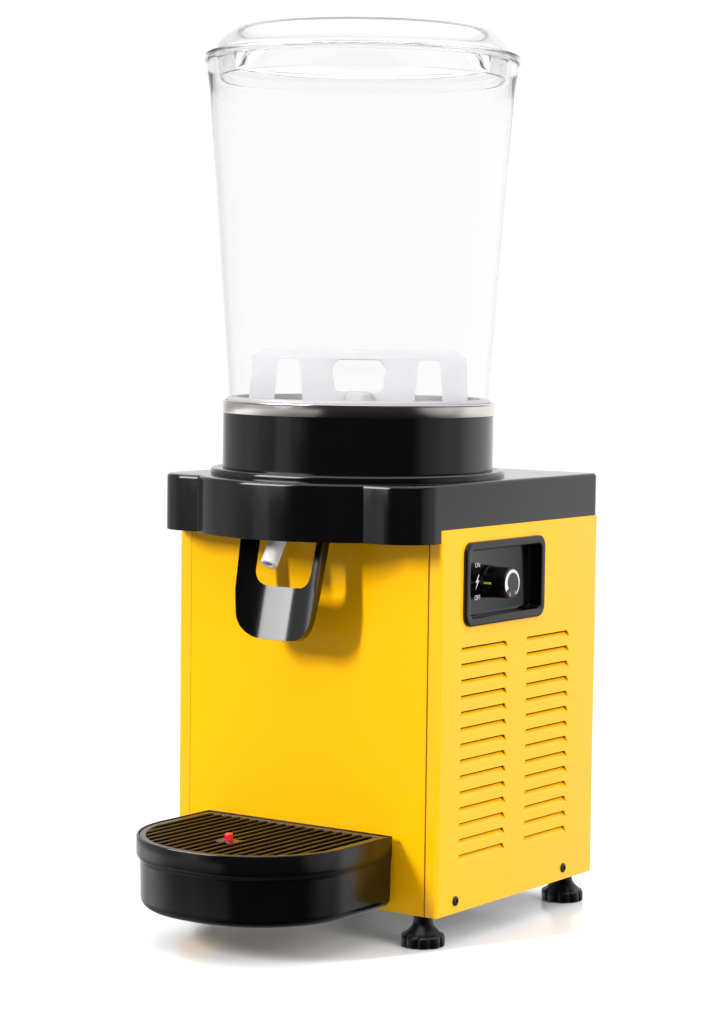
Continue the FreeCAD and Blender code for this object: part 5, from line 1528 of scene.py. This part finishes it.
def light_room(look):
    """The world: plain white to the camera, a room with soft bright and dark walls to gloss."""
    world = bpy.data.worlds.new("studio")
    bpy.context.scene.world = world
    world.use_nodes = True
    sky = Finish("studio", world.node_tree)
    way = sky.node("ShaderNodeTexCoord", output="Generated")
    lift = sky.node("ShaderNodeSeparateXYZ", None, {"Vector": way}, output="Z")
    sine, cosine = math.sin(CAMERA_TURN), math.cos(CAMERA_TURN)
    ahead = sky.facing(way, (-sine, cosine, 0.0))
    aside = sky.facing(way, (-cosine, -sine, 0.0))
    glow = sky.facing(way, (-0.669, -0.743, 0.0))
    strip = sky.facing(way, (-0.514, -0.855, -0.07))
    low_left = sky.facing(way, (-0.731, -0.682, 0.0))
    right = sky.facing(way, (0.955, 0.297, 0.0))
    high = lift.between(-0.19, -0.12)
    # dark behind the camera, dim beside the object, bright behind it
    room = look.room + ahead.between(-0.5, -0.05) * (look.flanks - look.room)
    room += ahead.between(-0.1, 0.35) * (look.backdrop - look.flanks)
    # the left wall, its glow and strip, and the glows that the tray and the drum mirror
    room *= 1.0 - aside.between(0.15, 0.6) * (1.0 - look.left) * high
    room += (glow.between(0.80, 0.95) + strip.between(0.988, 0.996) * 1.6) * high * look.glow
    room += low_left.between(0.59, 0.68) * (1.0 - high) * look.low_glow
    room += right.between(0.90, 0.99) * look.right_glow
    # darker below, with a bright ceiling
    room *= 0.3 + lift.between(-0.45, -0.12) * 0.7
    room += lift.between(0.6, 0.75) * (look.ceiling - room)
    # light that comes back from the ground, for matt surfaces only
    matt = sky.node("ShaderNodeLightPath", output="Is Diffuse Ray")
    room += matt * (1.0 - lift.between(-0.06, 0.0)) * (look.bounce - room)
    seen = sky.node("ShaderNodeLightPath", output="Is Camera Ray")
    through = sky.node("ShaderNodeLightPath", output="Is Transmission Ray")
    direct = sky.node("ShaderNodeMath", {"operation": "MAXIMUM"}, {0: seen, 1: through})
    light = sky.node("ShaderNodeBackground", None, {
        "Color": (1.0, 1.0, 1.0), "Strength": direct * look.white + (1.0 - direct) * room})
    sky.node("ShaderNodeOutputWorld", None, {"Surface": light})


def hang_lamps(look):
    """Key light, side light, and a card that only gloss mirrors; none dims or streaks the bowl."""
    key = soft_light("key light", (-0.315, -0.865, 0.391), distance=2.1, wide=0.13, tall=0.60,
                     watts=look.key_power)
    card = soft_light("reflection card", (-0.470, -0.783, 0.407), distance=2.1, wide=1.53,
                      tall=1.20, watts=look.card_power)
    side = soft_light("side light", (0.96, -0.12, 0.25), distance=2.3, wide=1.3, tall=1.8,
                      watts=look.side_power)
    card.visible_diffuse = False
    clear = all_but("shades nothing", "bowl_wall", "lid_dome")
    for lamp in (key, side):
        lamp.visible_glossy = False
        lamp.light_linking.blocker_collection = clear
    for lamp in (key, card, side):
        lamp.visible_transmission = False
    card.light_linking.receiver_collection = all_but("mirrors no card", "bowl_wall",
                                                     "lid_dome", "left_side")


def set_camera():
    """Camera where the photo was taken from, solved on the photo's edges."""
    data = bpy.data.cameras.new("camera")
    data.lens = 94.58
    data.sensor_width = 36.0
    data.clip_end = 60.0
    camera = placed("camera", data)
    pitch, roll = math.radians(4.06), math.radians(0.7255)
    sine, cosine = math.sin(CAMERA_TURN), math.cos(CAMERA_TURN)
    ahead = Vector((-sine * math.cos(pitch), cosine * math.cos(pitch), -math.sin(pitch)))
    right = Vector((cosine, sine, 0))
    up = right.cross(ahead)
    across = math.cos(roll) * right + math.sin(roll) * up
    upward = -math.sin(roll) * right + math.cos(roll) * up
    camera.matrix_world = basis(at(1.22265, -1.678, 0.44963), across, upward, -ahead)
    bpy.context.scene.camera = camera


def soft_light(name, way, distance, wide, tall, watts):
    """Area light that shines on the machine's middle from one direction."""
    data = bpy.data.lights.new(name, "AREA")
    data.shape = "RECTANGLE"
    data.size = wide
    data.size_y = tall
    data.energy = watts
    lamp = placed(name, data)
    way, machine = Vector(way).normalized(), Vector((0, -0.02, 0.30))
    lamp.location = machine + way * distance
    lamp.rotation_euler = way.to_track_quat("Z", "Y").to_euler()
    return lamp


def all_but(name, *pieces):
    """Light linking collection that stands for every piece but these."""
    group = bpy.data.collections.new(name)
    for piece_name in pieces:
        group.objects.link(bpy.data.objects[piece_name])
    for link in group.collection_objects:
        link.light_linking.link_state = "EXCLUDE"
    return group


class DispenserSettings(bpy.types.PropertyGroup):
    cabinet: PointerProperty(type=CabinetSettings, name="Cabinet", description="Panels and cover")
    bowl: PointerProperty(type=BowlSettings, name="Bowl", description="Bowl, lid and base")
    paddle: PointerProperty(type=PaddleSettings, name="Paddle", description="Paddle")
    tap: PointerProperty(type=TapSettings, name="Tap", description="Tube and lever")
    tray: PointerProperty(type=TraySettings, name="Tray", description="Drip tray and grille")
    control: PointerProperty(type=ControlSettings, name="Control", description="Bezel and dial")
    foot: PointerProperty(type=FootSettings, name="Feet", description="Screw feet")
    stage: PointerProperty(type=StageSettings, name="Stage", description="Floor and lights")


OPERATORS = (PanelsOperator, CoverOperator, BowlBaseOperator, PaddleOperator,
             BowlOperator, LidOperator, TapOperator, LeverOperator, TrayOperator,
             GrilleOperator, FloatOperator, ControlOperator, DialOperator, FeetOperator,
             WorksOperator, StageOperator)


class DispenserPanel(bpy.types.Panel):
    """Sidebar list of the dispenser's pieces"""
    bl_idname = "VIEW3D_PT_dispenser"
    bl_label = "Cold drink dispenser"
    bl_space_type = "VIEW_3D"
    bl_region_type = "UI"
    bl_category = "Dispenser"

    def draw(self, context):
        for operator in OPERATORS:
            self.layout.operator(operator.bl_idname, text=operator.bl_label)


CLASSES = (CabinetSettings, BowlSettings, PaddleSettings, TapSettings, TraySettings,
           ControlSettings, FootSettings, StageSettings, DispenserSettings) + OPERATORS + (
    DispenserPanel,)


def register():
    for item in CLASSES:
        bpy.utils.register_class(item)
    bpy.types.Scene.dispenser = PointerProperty(type=DispenserSettings)


def unregister():
    del bpy.types.Scene.dispenser
    for item in reversed(CLASSES):
        bpy.utils.unregister_class(item)


def main():
    register()
    for operator in OPERATORS:
        group, name = operator.bl_idname.split(".")
        getattr(getattr(bpy.ops, group), name)()


if __name__ == "__main__":
    main()
